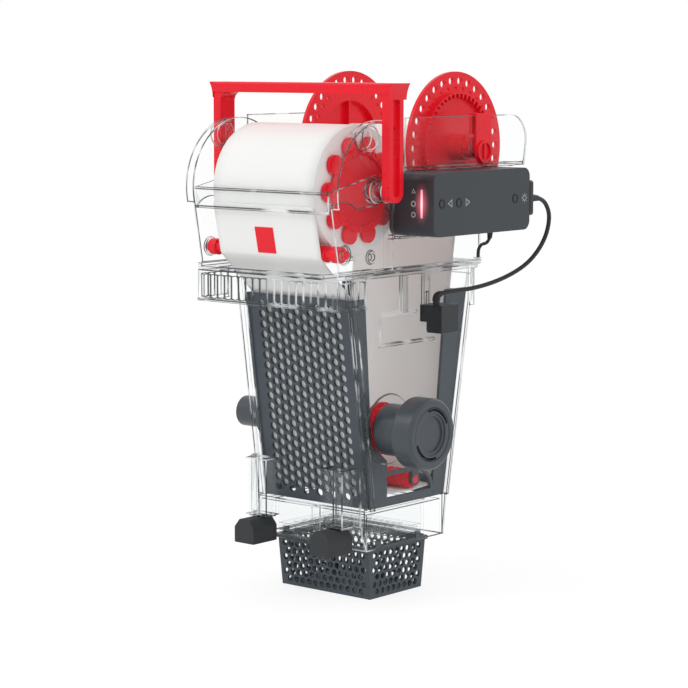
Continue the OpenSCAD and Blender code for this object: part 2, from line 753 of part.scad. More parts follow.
module front_screen() color([0.30, 0.33, 0.36]) {
  difference() {
    yz(-frame_in, frame_in) polygon([
      [yf(frame_z0), frame_z0], [yf(frame_z0) + screen_t, frame_z0],
      [yf(frame_z1) + screen_t, frame_z1], [yf(frame_z1), frame_z1]
    ]);
    panel_holes(front_y0 + screen_t / 2, front_slope, front_angle, -1);
  }
}

// Pair of side strips that hold the front screen
module front_frame() color([0.30, 0.33, 0.36])
  both() yz(frame_in, half_w) polygon([
    [yf(frame_z0), frame_z0], [yfe(frame_z0), frame_z0],
    [yfe(frame_z1), frame_z1], [yf(frame_z1), frame_z1]
  ]);

module rear_screen() color([0.30, 0.33, 0.36]) {
  difference() {
    yz(-frame_in, frame_in) polygon([
      [yp(frame_z0) - screen_t, frame_z0], [yp(frame_z0), frame_z0],
      [yp(frame_z1), frame_z1], [yp(frame_z1) - screen_t, frame_z1]
    ]);
    panel_holes(panel_y0 - screen_t / 2, panel_slope, panel_angle, 1);
  }
}

// Pair of side strips that hold the rear screen
module rear_frame() color([0.30, 0.33, 0.36])
  both() yz(frame_in, half_w) polygon([
    [yre(frame_z0), frame_z0], [yr(frame_z0), frame_z0],
    [yr(frame_z1), frame_z1], [yre(frame_z1), frame_z1]
  ]);

// Lower side plate: a window with an arch over the bottom roller
module side_plate() {
  z0 = frame_z0;
  sill = 6.6;
  post_y = yfe(z0) + 15;
  arch_r = 22.4;
  arch_t = 3.2;
  arch_z = z0 + 4;
  difference() {
    yz(frame_in, half_w) intersection() {
      union() {
        polygon([
          [yfe(z0), z0], [yre(z0), z0], [yre(z0), z0 + sill], [post_y, z0 + sill],
          [post_y, z0 + 35], [yfe(z0 + 50), z0 + 50]
        ]);
        difference() {
          union() {
            translate([roller_y, arch_z]) circle(arch_r);
            rect(post_y - 1, roller_y, arch_z, arch_z + arch_r);
          }
          translate([roller_y, arch_z]) circle(arch_r - arch_t);
          rect(post_y - 2, roller_y, z0, arch_z + arch_r - arch_t);
        }
        // hanger for the roller's axle
        rect(roller_y - rod_r - 1, roller_y + rod_r + 1, roller_z, arch_z + arch_r - 1);
        translate([roller_y, roller_z]) circle(rod_r + 2);
      }
      polygon([
        [yfe(z0), z0], [yre(z0), z0], [yre(z0 + 50), z0 + 50], [yfe(z0 + 50), z0 + 50]
      ]);
    }
    xcyl(frame_in - 1, half_w + 1, roller_y, roller_z, rod_r + run_gap);
  }
}

module side_plate_right() color([0.30, 0.33, 0.36]) side_plate();
module side_plate_left() color([0.30, 0.33, 0.36]) mirror([1, 0, 0]) side_plate();

module guide_rods() color([0.30, 0.33, 0.36]) {
  xcyl(-frame_in, frame_in, rod_front_y, rod_z, rod_r);
  xcyl(-frame_in, frame_in, rod_rear_y, rod_z, rod_r);
}

// ================= fleece =================

module fleece_web() color([0.96, 0.96, 0.95])
  yz(-fleece_x, fleece_x) polygon(ribbon(web_path, fleece_t));

// Plain tab stuck on the web in front of the roll
module fleece_tag() color([0.80, 0.08, 0.12]) {
  a = web_path[0];
  b = web_path[1];
  u = unit(b - a);
  n = [u[1], -u[0]];
  p = a + u * 17.2;
  q = a + u * 37;
  off = fleece_t / 2;
  yz(-11, 7) polygon([
    p + n * off, q + n * off, q + n * (off + 0.5), p + n * (off + 0.5)
  ]);
}

module fleece_roll() color([0.97, 0.97, 0.96])
  xtube(-fleece_x, fleece_x, spool_y, spool_z, roll_r, core_r);

module roll_core() color([0.80, 0.72, 0.58])
  xtube(-fleece_x, fleece_x, spool_y, spool_z, core_r, core_r - 1.6);

module spool_flange() {
  difference() {
    union() {
      xcyl(flange_x0, flange_x1, spool_y, spool_z, spool_flange_r - 4.5);
      for (i = [0 : petals - 1])
        translate([0, spool_y, spool_z]) rotate([i * 360 / petals, 0, 0])
          xcyl(flange_x0, flange_x1, spool_flange_r - 1.5, 0, 7.4);
      xcyl(flange_x0 - 20, flange_x0 + e, spool_y, spool_z, core_r - 1.65);
      xtube(flange_x1 - e, flange_x1 + 2.4, spool_y, spool_z, 31, 26.5);
      for (i = [0 : 59])
        translate([0, spool_y, spool_z]) rotate([i * 6, 0, 0])
          box(flange_x1 - e, flange_x1 + 3.2, 26.8, 30.7, -0.7, 0.7);
      xcyl(flange_x1 - e, cheek_x0 - 4.3, spool_y, spool_z, 8);
      xcyl(cheek_x0 - 5, cheek_x1, spool_y, spool_z, journal_r);
    }
    xcyl(flange_x0 - 21, flange_x0 - 3, spool_y, spool_z, core_r - 4);
  }
}

module spool_flange_right() color([0.84, 0.08, 0.12]) spool_flange();
module spool_flange_left() color([0.84, 0.08, 0.12]) mirror([1, 0, 0]) spool_flange();

module guide_roller() color([0.84, 0.08, 0.12]) {
  knob_x1 = cheek_x0 - 2 - pass_gap;
  knob_x0 = knob_x1 - 7.7;
  xcyl(-fleece_x - 2, fleece_x + 2, guide_y, guide_z, guide_r);
  both() {
    xcyl(fleece_x + 2 - e, knob_x0 + e, guide_y, guide_z, guide_r - 1.5);
    xcyl(knob_x0, knob_x1, guide_y, guide_z, guide_r + 0.2);
    xcyl(knob_x1 - e, cheek_x1, guide_y, guide_z, guide_axle_r);
  }
}

module bottom_roller() color([0.84, 0.08, 0.12]) {
  len = 2 * frame_in - 2;
  n = 12;
  xcyl(-len / 2, len / 2, roller_y, roller_z, bottom_r - 0.8);
  for (i = [0 : n - 1])
    xcyl(-len / 2 + i * len / n, -len / 2 + (i + 0.55) * len / n, roller_y, roller_z, bottom_r);
  xcyl(-half_w, half_w, roller_y, roller_z, rod_r);
}

// ================= roll guard and handle =================

module roll_guard() color([0.86, 0.92, 0.94, 0.4]) {
  x1 = cheek_x0 - 0.6;
  x0 = x1 - 2;
  y0 = spool_y - roll_r - 2.5;
  // strip in front of the roll
  box(-x1, x1, y0, y0 + 1.6, spool_z - 15, spool_z + 1);
  box(-x1, x1, y0 - 1.2, y0 + 1.6, spool_z - 0.6, spool_z + 1);
  box(-x1, x1, y0 - 1.2, y0 + 1.6, spool_z - 15, spool_z - 13.4);
  // bowed arms back to the pivot
  both() difference() {
    yz(x0, x1) {
      difference() {
        polygon([
          [y0, spool_z - 15], [y0, spool_z + 1], [spool_y - 2, spool_z + 11],
          [spool_y + 2, spool_z - 11]
        ]);
        translate([spool_y - 34, spool_z - 27]) circle(20);
      }
      translate([spool_y, spool_z]) circle(11.5);
    }
    xcyl(x0 - 1, x1 + 1, spool_y, spool_z, boss_r + run_gap);
  }
}

// Arm outline, square at the bar and round at the pivot; g insets it
module arm_outline(g) {
  translate([spool_y, spool_z]) circle(arm_w / 2 - g);
  rect(spool_y - arm_w / 2 + g, spool_y + arm_w / 2 - g, spool_z, handle_z1 - g);
}

module slot_outline() {
  zc = spool_z + 35.5;
  for (s = [-1, 1])
    translate([spool_y, zc + s * (slot_len - slot_w) / 2]) circle(slot_w / 2);
  rect(spool_y - slot_w / 2, spool_y + slot_w / 2,
       zc - (slot_len - slot_w) / 2, zc + (slot_len - slot_w) / 2);
}

module handle() color([0.84, 0.08, 0.12]) {
  bar_z0 = handle_z1 - handle_t;
  y0 = spool_y - 9;
  y1 = y0 + handle_d;
  chamfer = 1.2;
  flare_w = 3.5;
  flare_h = 12;
  flare_r = (flare_h * flare_h + flare_w * flare_w) / (2 * flare_w);
  both() difference() {
    union() {
      yz(arm_x0, arm_x1 - arm_channel) arm_outline(0);
      yz(arm_x0, arm_x1) difference() {
        arm_outline(0);
        arm_outline(arm_rim);
      }
    }
    yz(arm_x0 - 1, arm_x1 + 1) slot_outline();
    xcyl(arm_x0 - 1, arm_x0 + 2.8, spool_y, spool_z, pin_r + run_gap);
  }
  yz(-arm_x1, arm_x1) polygon([
    [y0, bar_z0], [y1, bar_z0], [y1, handle_z1 - chamfer], [y1 - chamfer, handle_z1],
    [y0 + chamfer, handle_z1], [y0, handle_z1 - chamfer]
  ]);
  // round inner corners and flared ends of the bar
  both() xz(spool_y - arm_w / 2, spool_y + arm_w / 2) difference() {
    rect(arm_x0 - handle_fillet, arm_x0 + e, bar_z0 - handle_fillet, bar_z0 + e);
    translate([arm_x0 - handle_fillet, bar_z0 - handle_fillet]) circle(handle_fillet);
  }
  both() xz(y0, y1) difference() {
    rect(arm_x1 - e, arm_x1 + flare_w, handle_z1 - flare_h, handle_z1);
    translate([arm_x1 + flare_r, handle_z1 - flare_h]) circle(flare_r);
  }
}

// ================= take-up reel =================

module ring_of_holes(n, r, d, x0, x1, a0) {
  for (i = [0 : n - 1])
    translate([0, reel_y, reel_z]) rotate([a0 + i * 360 / n, 0, 0])
      translate([x0, r, 0]) rotate([0, 90, 0]) cylinder(h = x1 - x0, d = d, $fn = 16);
}

// Hub, axle and the spigot that carries the drum
module reel_axle() {
  saddle_x0 = rear_x1 - saddle_l;
  xcyl(disc_x1 - e, disc_x1 + hub_l, reel_y, reel_z, hub_r);
  xcyl(disc_x1, saddle_x0 - pass_gap, reel_y, reel_z, stub_axle_r + 2);
  xcyl(saddle_x0 - 1, rear_x1, reel_y, reel_z, stub_axle_r);
  xcyl(disc_x0 - 12, disc_x0 + e, reel_y, reel_z, drum_r - 2 - run_gap);
}

module reel_disc_right() color([0.84, 0.08, 0.12]) {
  difference() {
    xcyl(disc_x0, disc_x1, reel_y, reel_z, disc_r);
    ring_of_holes(disc_holes, hole_ring_r, disc_hole, disc_x0 - 1, disc_x1 + 1, 0);
    ring_of_holes(disc_holes, small_ring_r, disc_hole * 0.6, disc_x0 - 1, disc_x1 + 1,
                  180 / disc_holes);
  }
  // internal ring gear
  translate([0, reel_y, reel_z])
    yz(disc_x1 - e, disc_x1 + ring_face) difference() {
      circle(ring_out_r);
      difference() {
        circle(ring_root_r);
        for (i = [0 : ring_teeth - 1])
          rotate(180 + i * 360 / ring_teeth)
            polygon([
              [-tooth_root, ring_root_r + 0.5], [-tooth_tip, ring_tip_r],
              [tooth_tip, ring_tip_r], [tooth_root, ring_root_r + 0.5]
            ]);
      }
    }
  reel_axle();
}

module reel_disc_left() color([0.84, 0.08, 0.12]) mirror([1, 0, 0]) {
  dish_r = 34;
  difference() {
    union() {
      xcyl(disc_x0, disc_x1, reel_y, reel_z, disc_r);
      xcyl(disc_x0, disc_x1 + 4, reel_y, reel_z, dish_r + 2);
    }
    xcyl(disc_x0 - 1, disc_x1 + 2, reel_y, reel_z, dish_r);
    ring_of_holes(disc_holes, hole_ring_r, disc_hole, disc_x0 - 1, disc_x1 + 1, 0);
    ring_of_holes(disc_holes, small_ring_r, disc_hole * 0.6, disc_x0 - 1, disc_x1 + 1,
                  180 / disc_holes);
  }
  for (i = [0 : 5])
    translate([0, reel_y, reel_z]) rotate([30 + i * 60, 0, 0])
      box(disc_x0 + 0.6, disc_x1 + 3, 8, dish_r + 1, -0.9, 0.9);
  xcyl(disc_x0 - e, disc_x1 + 3, reel_y, reel_z, drum_r + 1);
  reel_axle();
}

module reel_drum() color([0.84, 0.08, 0.12])
  xtube(-disc_x0, disc_x0, reel_y, reel_z, drum_r, drum_r - 2);

module used_fleece() color([0.93, 0.93, 0.91])
  xtube(-fleece_x, fleece_x, reel_y, reel_z, wound_r, drum_r);

module drive_pinion() color([0.25, 0.27, 0.30]) {
  translate([0, reel_y, pinion_z])
    yz(disc_x1 + 0.5, side_x0 + 0.2)
      rotate(180 + 180 / pinion_teeth)
        gear2d(pinion_teeth, pinion_pitch_r - tooth_down, pinion_pitch_r + tooth_up,
               tooth_root, tooth_tip);
  xcyl(disc_x1 + 0.5, ctrl_x0 + 12, reel_y, pinion_z, 2.5);
}

// Latch: an outer plate round at its foot, a tongue in the slot and an inner plate
module reel_latch() color([0.84, 0.08, 0.12]) {
  z1 = shelf_z + rear_cheek_h + 1.5;
  plate_r = 9.5;
  plate_x1 = rear_x1 + pass_gap + 1.8;
  foot_z = reel_z - 3;
  tongue_y = stub_axle_r - 0.1;
  yz(rear_x1 + pass_gap, plate_x1) {
    translate([reel_y, foot_z]) circle(plate_r);
    rect(reel_y - plate_r, reel_y + plate_r, foot_z, z1);
  }
  // raised rim and bar of the grip
  yz(plate_x1 - e, plate_x1 + 1.6) translate([reel_y, foot_z]) difference() {
    circle(plate_r - 0.8);
    circle(plate_r - 2.8);
  }
  box(plate_x1 - e, plate_x1 + 1.4, reel_y - 1, reel_y + 1, foot_z - 7, foot_z + 7);
  // tongue that closes the slot above the axle
  box(rear_x0 - pass_gap - e, rear_x1 + pass_gap + e, reel_y - tongue_y, reel_y + tongue_y,
      reel_z + stub_axle_r + 0.4, z1);
  // inner plate that holds the latch on the cheek
  box(rear_x0 - pass_gap - 2.5, rear_x0 - pass_gap, reel_y - plate_r, reel_y + plate_r,
      reel_z + hub_r + 0.5, z1);
}

// ================= controller =================

module ctrl_outline(g) {
  rrect(ctrl_y0 + g, ctrl_y1 - g, ctrl_z0 + g, ctrl_z1 - g, max(ctrl_r - g, 0.5));
}

module controller_shell() color([0.19, 0.21, 0.23]) {
  difference() {
    yz(cover_x1, ctrl_x1) ctrl_outline(0);
    yz(cover_x1 - 1, ctrl_x1 - ctrl_t) ctrl_outline(ctrl_t);
    for (y = button_y)
      xcyl(ctrl_x1 - 4, ctrl_x1 + 1, y, button_z, button_r + run_gap + 0.03);
    box(lens_x - lens_w / 2, lens_x + lens_w / 2, ctrl_y0 - 1, ctrl_y0 + ctrl_t + 1,
        button_z - lens_h / 2, button_z + lens_h / 2);
  }
  // gland for the lead under the box
  translate([ctrl_x0 + 19.4, ctrl_y1 - 19.9, ctrl_z0 - gland_l])
    cylinder(h = gland_l + 0.5, d = lead_d + 2.4);
}

module controller_cover() color([0.19, 0.21, 0.23]) {
  difference() {
    yz(ctrl_x0, cover_x1) ctrl_outline(0);
    xcyl(ctrl_x0 - 1, cover_x1 + 1, reel_y, pinion_z, 3.2);
  }
}

module gearmotor() color([0.55, 0.56, 0.58]) {
  difference() {
    xcyl(cover_x1, board_x1 - board_t - 3, reel_y, pinion_z, 9);
    xcyl(cover_x1 - 1, ctrl_x0 + 13, reel_y, pinion_z, 2.5 + run_gap);
  }
}

module circuit_board() color([0.10, 0.35, 0.20])
  box(board_x1 - board_t, board_x1, ctrl_y0 + ctrl_t + 4, ctrl_y1 - ctrl_t - 6,
      ctrl_z0 + ctrl_t, ctrl_z1 - ctrl_t - 4);

module led_lens() color([0.90, 0.35, 0.40])
  box(lens_x - lens_w / 2, lens_x + lens_w / 2, ctrl_y0 - 0.2, ctrl_y0 + ctrl_t,
      button_z - lens_h / 2, button_z + lens_h / 2);

module cable_plug() color([0.16, 0.18, 0.20]) {
  xz(ctrl_y1, ctrl_y1 + plug_t) rrect(plug_x - 8, plug_x + 8.4, plug_z - 13.5, plug_z + 13.5, 2.5);
  translate([plug_x, ctrl_y1 + plug_t - e, plug_z - 1.15]) rotate([-90, 0, 0])
    cylinder(h = boss_l + e, d = cable_d + 2);
}

// Push button: cap, collar behind the wall and stem
module push_button(y) {
  xcyl(board_x1 + button_travel + 0.4, ctrl_x1 + 0.5, y, button_z, button_r);
  xcyl(ctrl_x1 - ctrl_t - 1.6, ctrl_x1 - ctrl_t - 0.3, y, button_z, button_r + 0.9);
}

module button_rewind() color([0.10, 0.11, 0.12]) push_button(button_y[0]);
module button_advance() color([0.10, 0.11, 0.12]) push_button(button_y[1]);
module button_set() color([0.10, 0.11, 0.12]) push_button(button_y[2]);

// ================= sensor and cords =================

module sensor_block() color([0.14, 0.15, 0.17]) {
  difference() {
    union() {
      box(sensor_x0, sensor_x1, sensor_y0, sensor_y0 + sensor_s, sensor_z0, sensor_z1);
      translate([cable_x, cable_y, sensor_z1 - e])
        cylinder(h = sensor_gland + e, d = cable_d + 2);
    }
    // notch that the sensing window looks through
    box(sensor_x0 - 1, sensor_x0 + 7, sensor_y0 - 1, sensor_y0 + 8, sensor_z0 - 1, sensor_z0 + 8);
  }
}

module sensor_cable() color([0.12, 0.13, 0.14])
  tube(CABLE, 2, cable_d, 8, [1, 0, 0]);

// Clip on the housing's side that the lead ends in
module lead_clip() color([0.86, 0.92, 0.94, 0.4]) {
  x1 = side_x1 + 5.2;
  y1 = yr(deck_z0) - 1.45;
  y0 = y1 - 6.2;
  difference() {
    box(side_x1, x1, y0, y1, deck_z1, deck_z1 + clip_h);
    box(side_x1 + 1, x1 + 1, y0 + 1, y0 + 1.8, deck_z1 + 1, deck_z1 + clip_h + 1);
  }
}

module signal_lead() color([0.12, 0.13, 0.14])
  tube(LEAD, 2, lead_d, 8, [1, 0, 0]);

// ================= inlets =================

module inlet_body() {
  difference() {
    union() {
      xcyl(frame_in - lock_t - 0.4, wall_out + 2, inlet_y, inlet_z, spigot_r);
      xcyl(wall_out + 1.2, nut_x0 - 1, inlet_y, inlet_z, inlet_r);
      xcyl(nut_x0 - 2, nut_x0 + 7, inlet_y, inlet_z, spigot_r + 1);
    }
    xcyl(frame_in - lock_t - 2, nut_x0 + 8, inlet_y, inlet_z, inlet_bore_r);
  }
}

module inlet_body_right() color([0.17, 0.19, 0.21]) inlet_body();

module inlet_body_left() color([0.17, 0.19, 0.21]) mirror([1, 0, 0]) {
  difference() {
    union() {
      xcyl(frame_in - lock_t - 0.4, wall_out + 2, inlet_y, inlet_z, spigot_r);
      xcyl(wall_out + 1.2, wall_out + 7, inlet_y, inlet_z, inlet_r);
    }
    xcyl(frame_in - lock_t - 2, wall_out + 8, inlet_y, inlet_z, inlet_bore_r);
  }
}

// Red rings that lock the spigots from inside
module inlet_lock_rings() color([0.84, 0.08, 0.12]) both() {
  xtube(frame_in - lock_t - 0.4, frame_in - 0.4, inlet_y, inlet_z, spigot_r + 6, spigot_r);
  xtube(frame_in - 0.4 - e, wall_in, inlet_y, inlet_z, spigot_r + 2.4, spigot_r);
}

module inlet_nut_right() color([0.20, 0.22, 0.24]) {
  f = 3;
  difference() {
    union() {
      xcyl(nut_x0, nut_x1 - f, inlet_y, inlet_z, nut_r);
      xcyl(nut_x0, nut_x1, inlet_y, inlet_z, nut_r - f);
      translate([nut_x1 - f, inlet_y, inlet_z]) rotate([0, 90, 0])
        rotate_extrude() translate([nut_r - f, 0]) circle(f, $fn = 24);
    }
    xcyl(nut_x0 - 1, nut_x0 + 4, inlet_y, inlet_z, spigot_r + 1.1);
    xcyl(nut_x0 + 3, nut_x1 + 1, inlet_y, inlet_z, inlet_r + 0.6);
  }
}

module inlet_plug_right() color([0.22, 0.24, 0.26]) {
  r = inlet_r + 0.4;
  difference() {
    union() {
      xcyl(nut_x0 + 7, nut_x1 - 0.6, inlet_y, inlet_z, r);
      xcyl(nut_x0 + 1, nut_x0 + 7.1, inlet_y, inlet_z, inlet_bore_r - 0.1);
    }
    // two curved grip slots in the rim
    for (a = [20, 200])
      translate([0, inlet_y, inlet_z]) yz(nut_x1 - 4.6, nut_x1)
        intersection() {
          difference() {
            circle(r - 0.6);
            circle(r - 2.4);
          }
          rotate(a) polygon([[0, 0], [30, 0], [30, 30], [2, 30]]);
        }
    // stepped recess in the face
    xcyl(nut_x1 - 1.8, nut_x1, inlet_y, inlet_z, r - 4);
    xcyl(nut_x1 - 3.2, nut_x1, inlet_y, inlet_z, r - 6.4);
  }
}

module inlet_plug_left() color([0.17, 0.19, 0.21]) mirror([1, 0, 0]) {
  x1 = wall_out + 34.5;
  difference() {
    union() {
      xcyl(wall_out + 1, wall_out + 7.1, inlet_y, inlet_z, inlet_bore_r);
      xcyl(wall_out + 7, x1, inlet_y, inlet_z, stub_r);
    }
    xcyl(x1 - 14, x1 + 1, inlet_y, inlet_z, stub_r - 3);
  }
}

// ================= foot of the part =================

module leg() {
  x0 = leg_x - sleeve_w / 2 + sleeve_t + leg_gap;
  x1 = leg_x + sleeve_w / 2 - sleeve_t - leg_gap;
  y0 = sleeve_y0 + sleeve_t + leg_gap;
  y1 = sleeve_y1 - sleeve_t - leg_gap;
  difference() {
    box(x0, x1, y0, y1, foot_z1, sleeve_z1 - 0.5);
    box(x0 + sleeve_t, x1 - sleeve_t, y0 + sleeve_t, y1 - sleeve_t,
        foot_z1 + 2, sleeve_z1 + 1);
  }
  box(leg_x - 5.5, leg_x + 5.5, y0 + 2, y1 - 2, foot_z1 - 8, foot_z1 + e);
}

module foot() {
  z0 = foot_z1 - foot_h;
  y0 = sleeve_y0 + sleeve_t + leg_gap;
  y1 = sleeve_y1 - sleeve_t - leg_gap;
  difference() {
    xz(foot_y0, foot_y1) polygon([
      [leg_x - foot_w / 2, z0], [leg_x + foot_w / 2, z0],
      [leg_x + foot_w / 2, foot_z1 - 6], [leg_x + foot_w / 2 - 5, foot_z1],
      [leg_x - foot_w / 2 + 5, foot_z1], [leg_x - foot_w / 2, foot_z1 - 6]
    ]);
    box(leg_x - 5.5, leg_x + 5.5, y0 + 2, y1 - 2, foot_z1 - 8, foot_z1 + 1);
  }
}

module leg_right() color([0.86, 0.92, 0.94, 0.4]) leg();
module leg_left() color([0.86, 0.92, 0.94, 0.4]) mirror([1, 0, 0]) leg();
module foot_right() color([0.15, 0.16, 0.18]) foot();
module foot_left() color([0.15, 0.16, 0.18]) mirror([1, 0, 0]) foot();

// Perforated tray that stands on the lip in the neck
module diffuser() color([0.86, 0.92, 0.94, 0.4]) {
  pitch = 6.2;
  z0 = chamber_z0 + flange_t;
  z1 = z0 + 6;
  y_mid = (neck_y0 + neck_y1) / 2;
  cols = floor((2 * neck_x - 10) / pitch);
  rows = floor((neck_y1 - neck_y0 - 12) / (pitch * sin(60)));
  difference() {
    box(-neck_x + pass_gap, neck_x - pass_gap, neck_y0 + pass_gap, neck_y1 - pass_gap, z0, z1);
    box(-neck_x + 2, neck_x - 2, neck_y0 + 2, neck_y1 - 2, z0 - 1, z1 - 2.4);
    for (j = [0 : rows - 1])
      for (i = [0 : cols - 1 - j % 2])
        translate([(i - (cols - 1 - j % 2) / 2) * pitch,
                   y_mid + (j - (rows - 1) / 2) * pitch * sin(60), z0 - 1])
          cylinder(h = 8, d = 3.8, $fn = 16);
  }
}

module basket() color([0.22, 0.24, 0.27]) {
  bx = basket_len / 2;
  by = basket_dep / 2;
  tx = bx + basket_draft;
  ty = by + basket_draft + 2;
  rise = basket_pitch * sin(60);
  foot_row = 5.2;
  rows = floor((basket_h - foot_row - basket_hole / 2 - 0.8) / rise) + 1;
  cols_x = floor((basket_len - 8) / basket_pitch);
  cols_y = floor((basket_dep - 8) / basket_pitch);
  difference() {
    union() {
      frustum(bx, by, tx, ty, 0, basket_h);
      box(-tx - basket_lip, tx + basket_lip, -ty - basket_lip, ty + basket_lip,
          basket_h, rim_z1);
    }
    frustum(bx - basket_wall, by - basket_wall, tx - basket_wall, ty - basket_wall,
            basket_wall, basket_h + e);
    box(-tx + basket_wall, tx - basket_wall, -ty + basket_wall, ty - basket_wall,
        basket_h - e, rim_z1 + 1);
    // drain holes through the front and rear, the ends and the bottom
    for (j = [0 : rows - 1]) {
      z = foot_row + j * rise;
      for (i = [0 : cols_x - 1 + j % 2])
        translate([(i - (cols_x - 1 + j % 2) / 2) * basket_pitch, -ty - 3, z])
          rotate([-90, 0, 0]) cylinder(h = 2 * ty + 6, d = basket_hole, $fn = 16);
      for (i = [0 : cols_y - 1 + j % 2])
        translate([-tx - 3, (i - (cols_y - 1 + j % 2) / 2) * basket_pitch, z])
          rotate([0, 90, 0]) cylinder(h = 2 * tx + 6, d = basket_hole, $fn = 16);
    }
    for (x = [-30 : 10 : 30])
      for (y = [-15, 15])
        translate([x, y, -1]) cylinder(h = 4, d = basket_hole, $fn = 16);
  }
  // clips that hook over the chamber's foot
  for (sx = [-1, 1])
    for (sy = [-1, 1])
      translate([sx * (tx + basket_lip - 0.7), sy * 24, 0])
        box(-0.7, 0.7, -3, 3, basket_h + 1, rim_z1 + 4);
}

chamber();
deck();
overflow_comb();
cheek_right();
cheek_left();
front_screen();
front_frame();
rear_screen();
rear_frame();
side_plate_right();
side_plate_left();
guide_rods();
fleece_web();
fleece_tag();
diffuser();
inlet_body_right();
inlet_body_left();
inlet_lock_rings();
inlet_plug_right();
inlet_plug_left();
inlet_nut_right();
controller_shell();
controller_cover();
gearmotor();
circuit_board();
led_lens();
cable_plug();
sensor_block();
sensor_cable();
lead_clip();
signal_lead();
button_rewind();
button_advance();
button_set();
handle();
roll_guard();
fleece_roll();
roll_core();
spool_flange_right();
spool_flange_left();
guide_roller();
bottom_roller();
reel_disc_right();
reel_disc_left();
reel_drum();
used_fleece();
drive_pinion();
reel_latch();
leg_right();
leg_left();
foot_right();
foot_left();
basket();
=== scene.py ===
"""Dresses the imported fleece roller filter: finishes, softened edges, fleece, cords and stage."""

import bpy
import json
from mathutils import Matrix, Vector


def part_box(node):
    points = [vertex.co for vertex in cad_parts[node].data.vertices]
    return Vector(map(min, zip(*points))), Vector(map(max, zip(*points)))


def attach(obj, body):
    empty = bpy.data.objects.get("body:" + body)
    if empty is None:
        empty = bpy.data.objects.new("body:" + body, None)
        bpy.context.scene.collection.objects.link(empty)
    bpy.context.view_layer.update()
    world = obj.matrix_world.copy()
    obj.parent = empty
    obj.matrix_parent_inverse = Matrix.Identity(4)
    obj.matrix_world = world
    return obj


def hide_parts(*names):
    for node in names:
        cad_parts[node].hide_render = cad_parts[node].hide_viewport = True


bl_info = {
    "name": "Fleece Roller Filter",
    "version": (1, 0, 0),
    "blender": (4, 5, 0),
    "location": "3D View > Sidebar > Filter",
    "description": "Dresses an aquarium fleece roller filter on its CAD frame",
    "category": "Object",
}

import json
import math

import bmesh
import bpy
from bpy.props import FloatProperty, FloatVectorProperty, PointerProperty
from mathutils import Matrix, Vector, noise
from mathutils.bvhtree import BVHTree

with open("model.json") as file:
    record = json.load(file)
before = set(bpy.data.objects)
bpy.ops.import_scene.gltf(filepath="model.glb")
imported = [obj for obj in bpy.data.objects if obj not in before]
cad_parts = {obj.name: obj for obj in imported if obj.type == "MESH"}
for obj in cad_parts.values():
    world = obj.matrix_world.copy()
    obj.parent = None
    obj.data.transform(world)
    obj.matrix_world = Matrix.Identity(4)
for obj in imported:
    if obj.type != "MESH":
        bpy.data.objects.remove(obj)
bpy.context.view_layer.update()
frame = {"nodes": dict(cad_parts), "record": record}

MM = 0.001
# Points of a CAD mesh this close together are one
SAME_POINT = 0.00002
# Neighbouring faces that turn by less than this are one flat
FLAT = math.radians(0.6)
# Edges that turn by more than this are rounded
SHARP = math.radians(32.0)
# Corners wider than this only carry an edge on
STRAIGHT_ON = math.radians(150.0)
# Share of the face beside it that an edge's rounding may take
ROOM_SHARE = 0.46
# A clear part deeper than this behind a face shows that face as a rim
RIM_DEPTH = 0.0045

# The new roll's axis, which runs along X, as (Y, Z)
SPOOL = (-0.053, 0.313)
# Motor box: its buttons, its wide side and front, and its lamp
BUTTON_Z = 0.30365
BUTTON_Y = (-0.0213, -0.0008, 0.0688)
BUTTON_R = 0.0034
CONTROLLER_X1 = 0.105
CONTROLLER_Y0 = -0.031
LENS_X = 0.0935

# Route of the sensor cable, from the plug to the sensor's gland
SENSOR_CABLE = (
    (97, 98, 302), (97, 106, 302), (96.5, 114, 300.5), (96, 121, 296.5),
    (95.5, 126, 289), (94.5, 127, 280), (93, 124.5, 270), (90, 119, 259.5),
    (86, 110, 250), (81.5, 96, 242.5), (77.5, 77, 237), (74, 57, 234),
    (71, 38, 233), (69.6, 26, 232.4), (69, 19.5, 231), (69, 18, 229), (69, 18, 227.4),
)
SENSOR_CABLE_D = 3.4
# Route of the short lead, from the controller's underside to its clip
SIGNAL_LEAD = (
    (82, 67.6, 278.4), (82, 67.6, 275.6), (81.4, 67.9, 272.6), (79.5, 68.7, 270),
    (76.8, 69.9, 268.2), (73.5, 71.4, 267.3), (70.2, 72.9, 266.4), (67.5, 74.1, 264.6),
    (65.6, 74.9, 262), (65, 75.2, 259), (65, 75.2, 256.2),
)
SIGNAL_LEAD_D = 2.6


# ---------------------------------------------------------------- settings

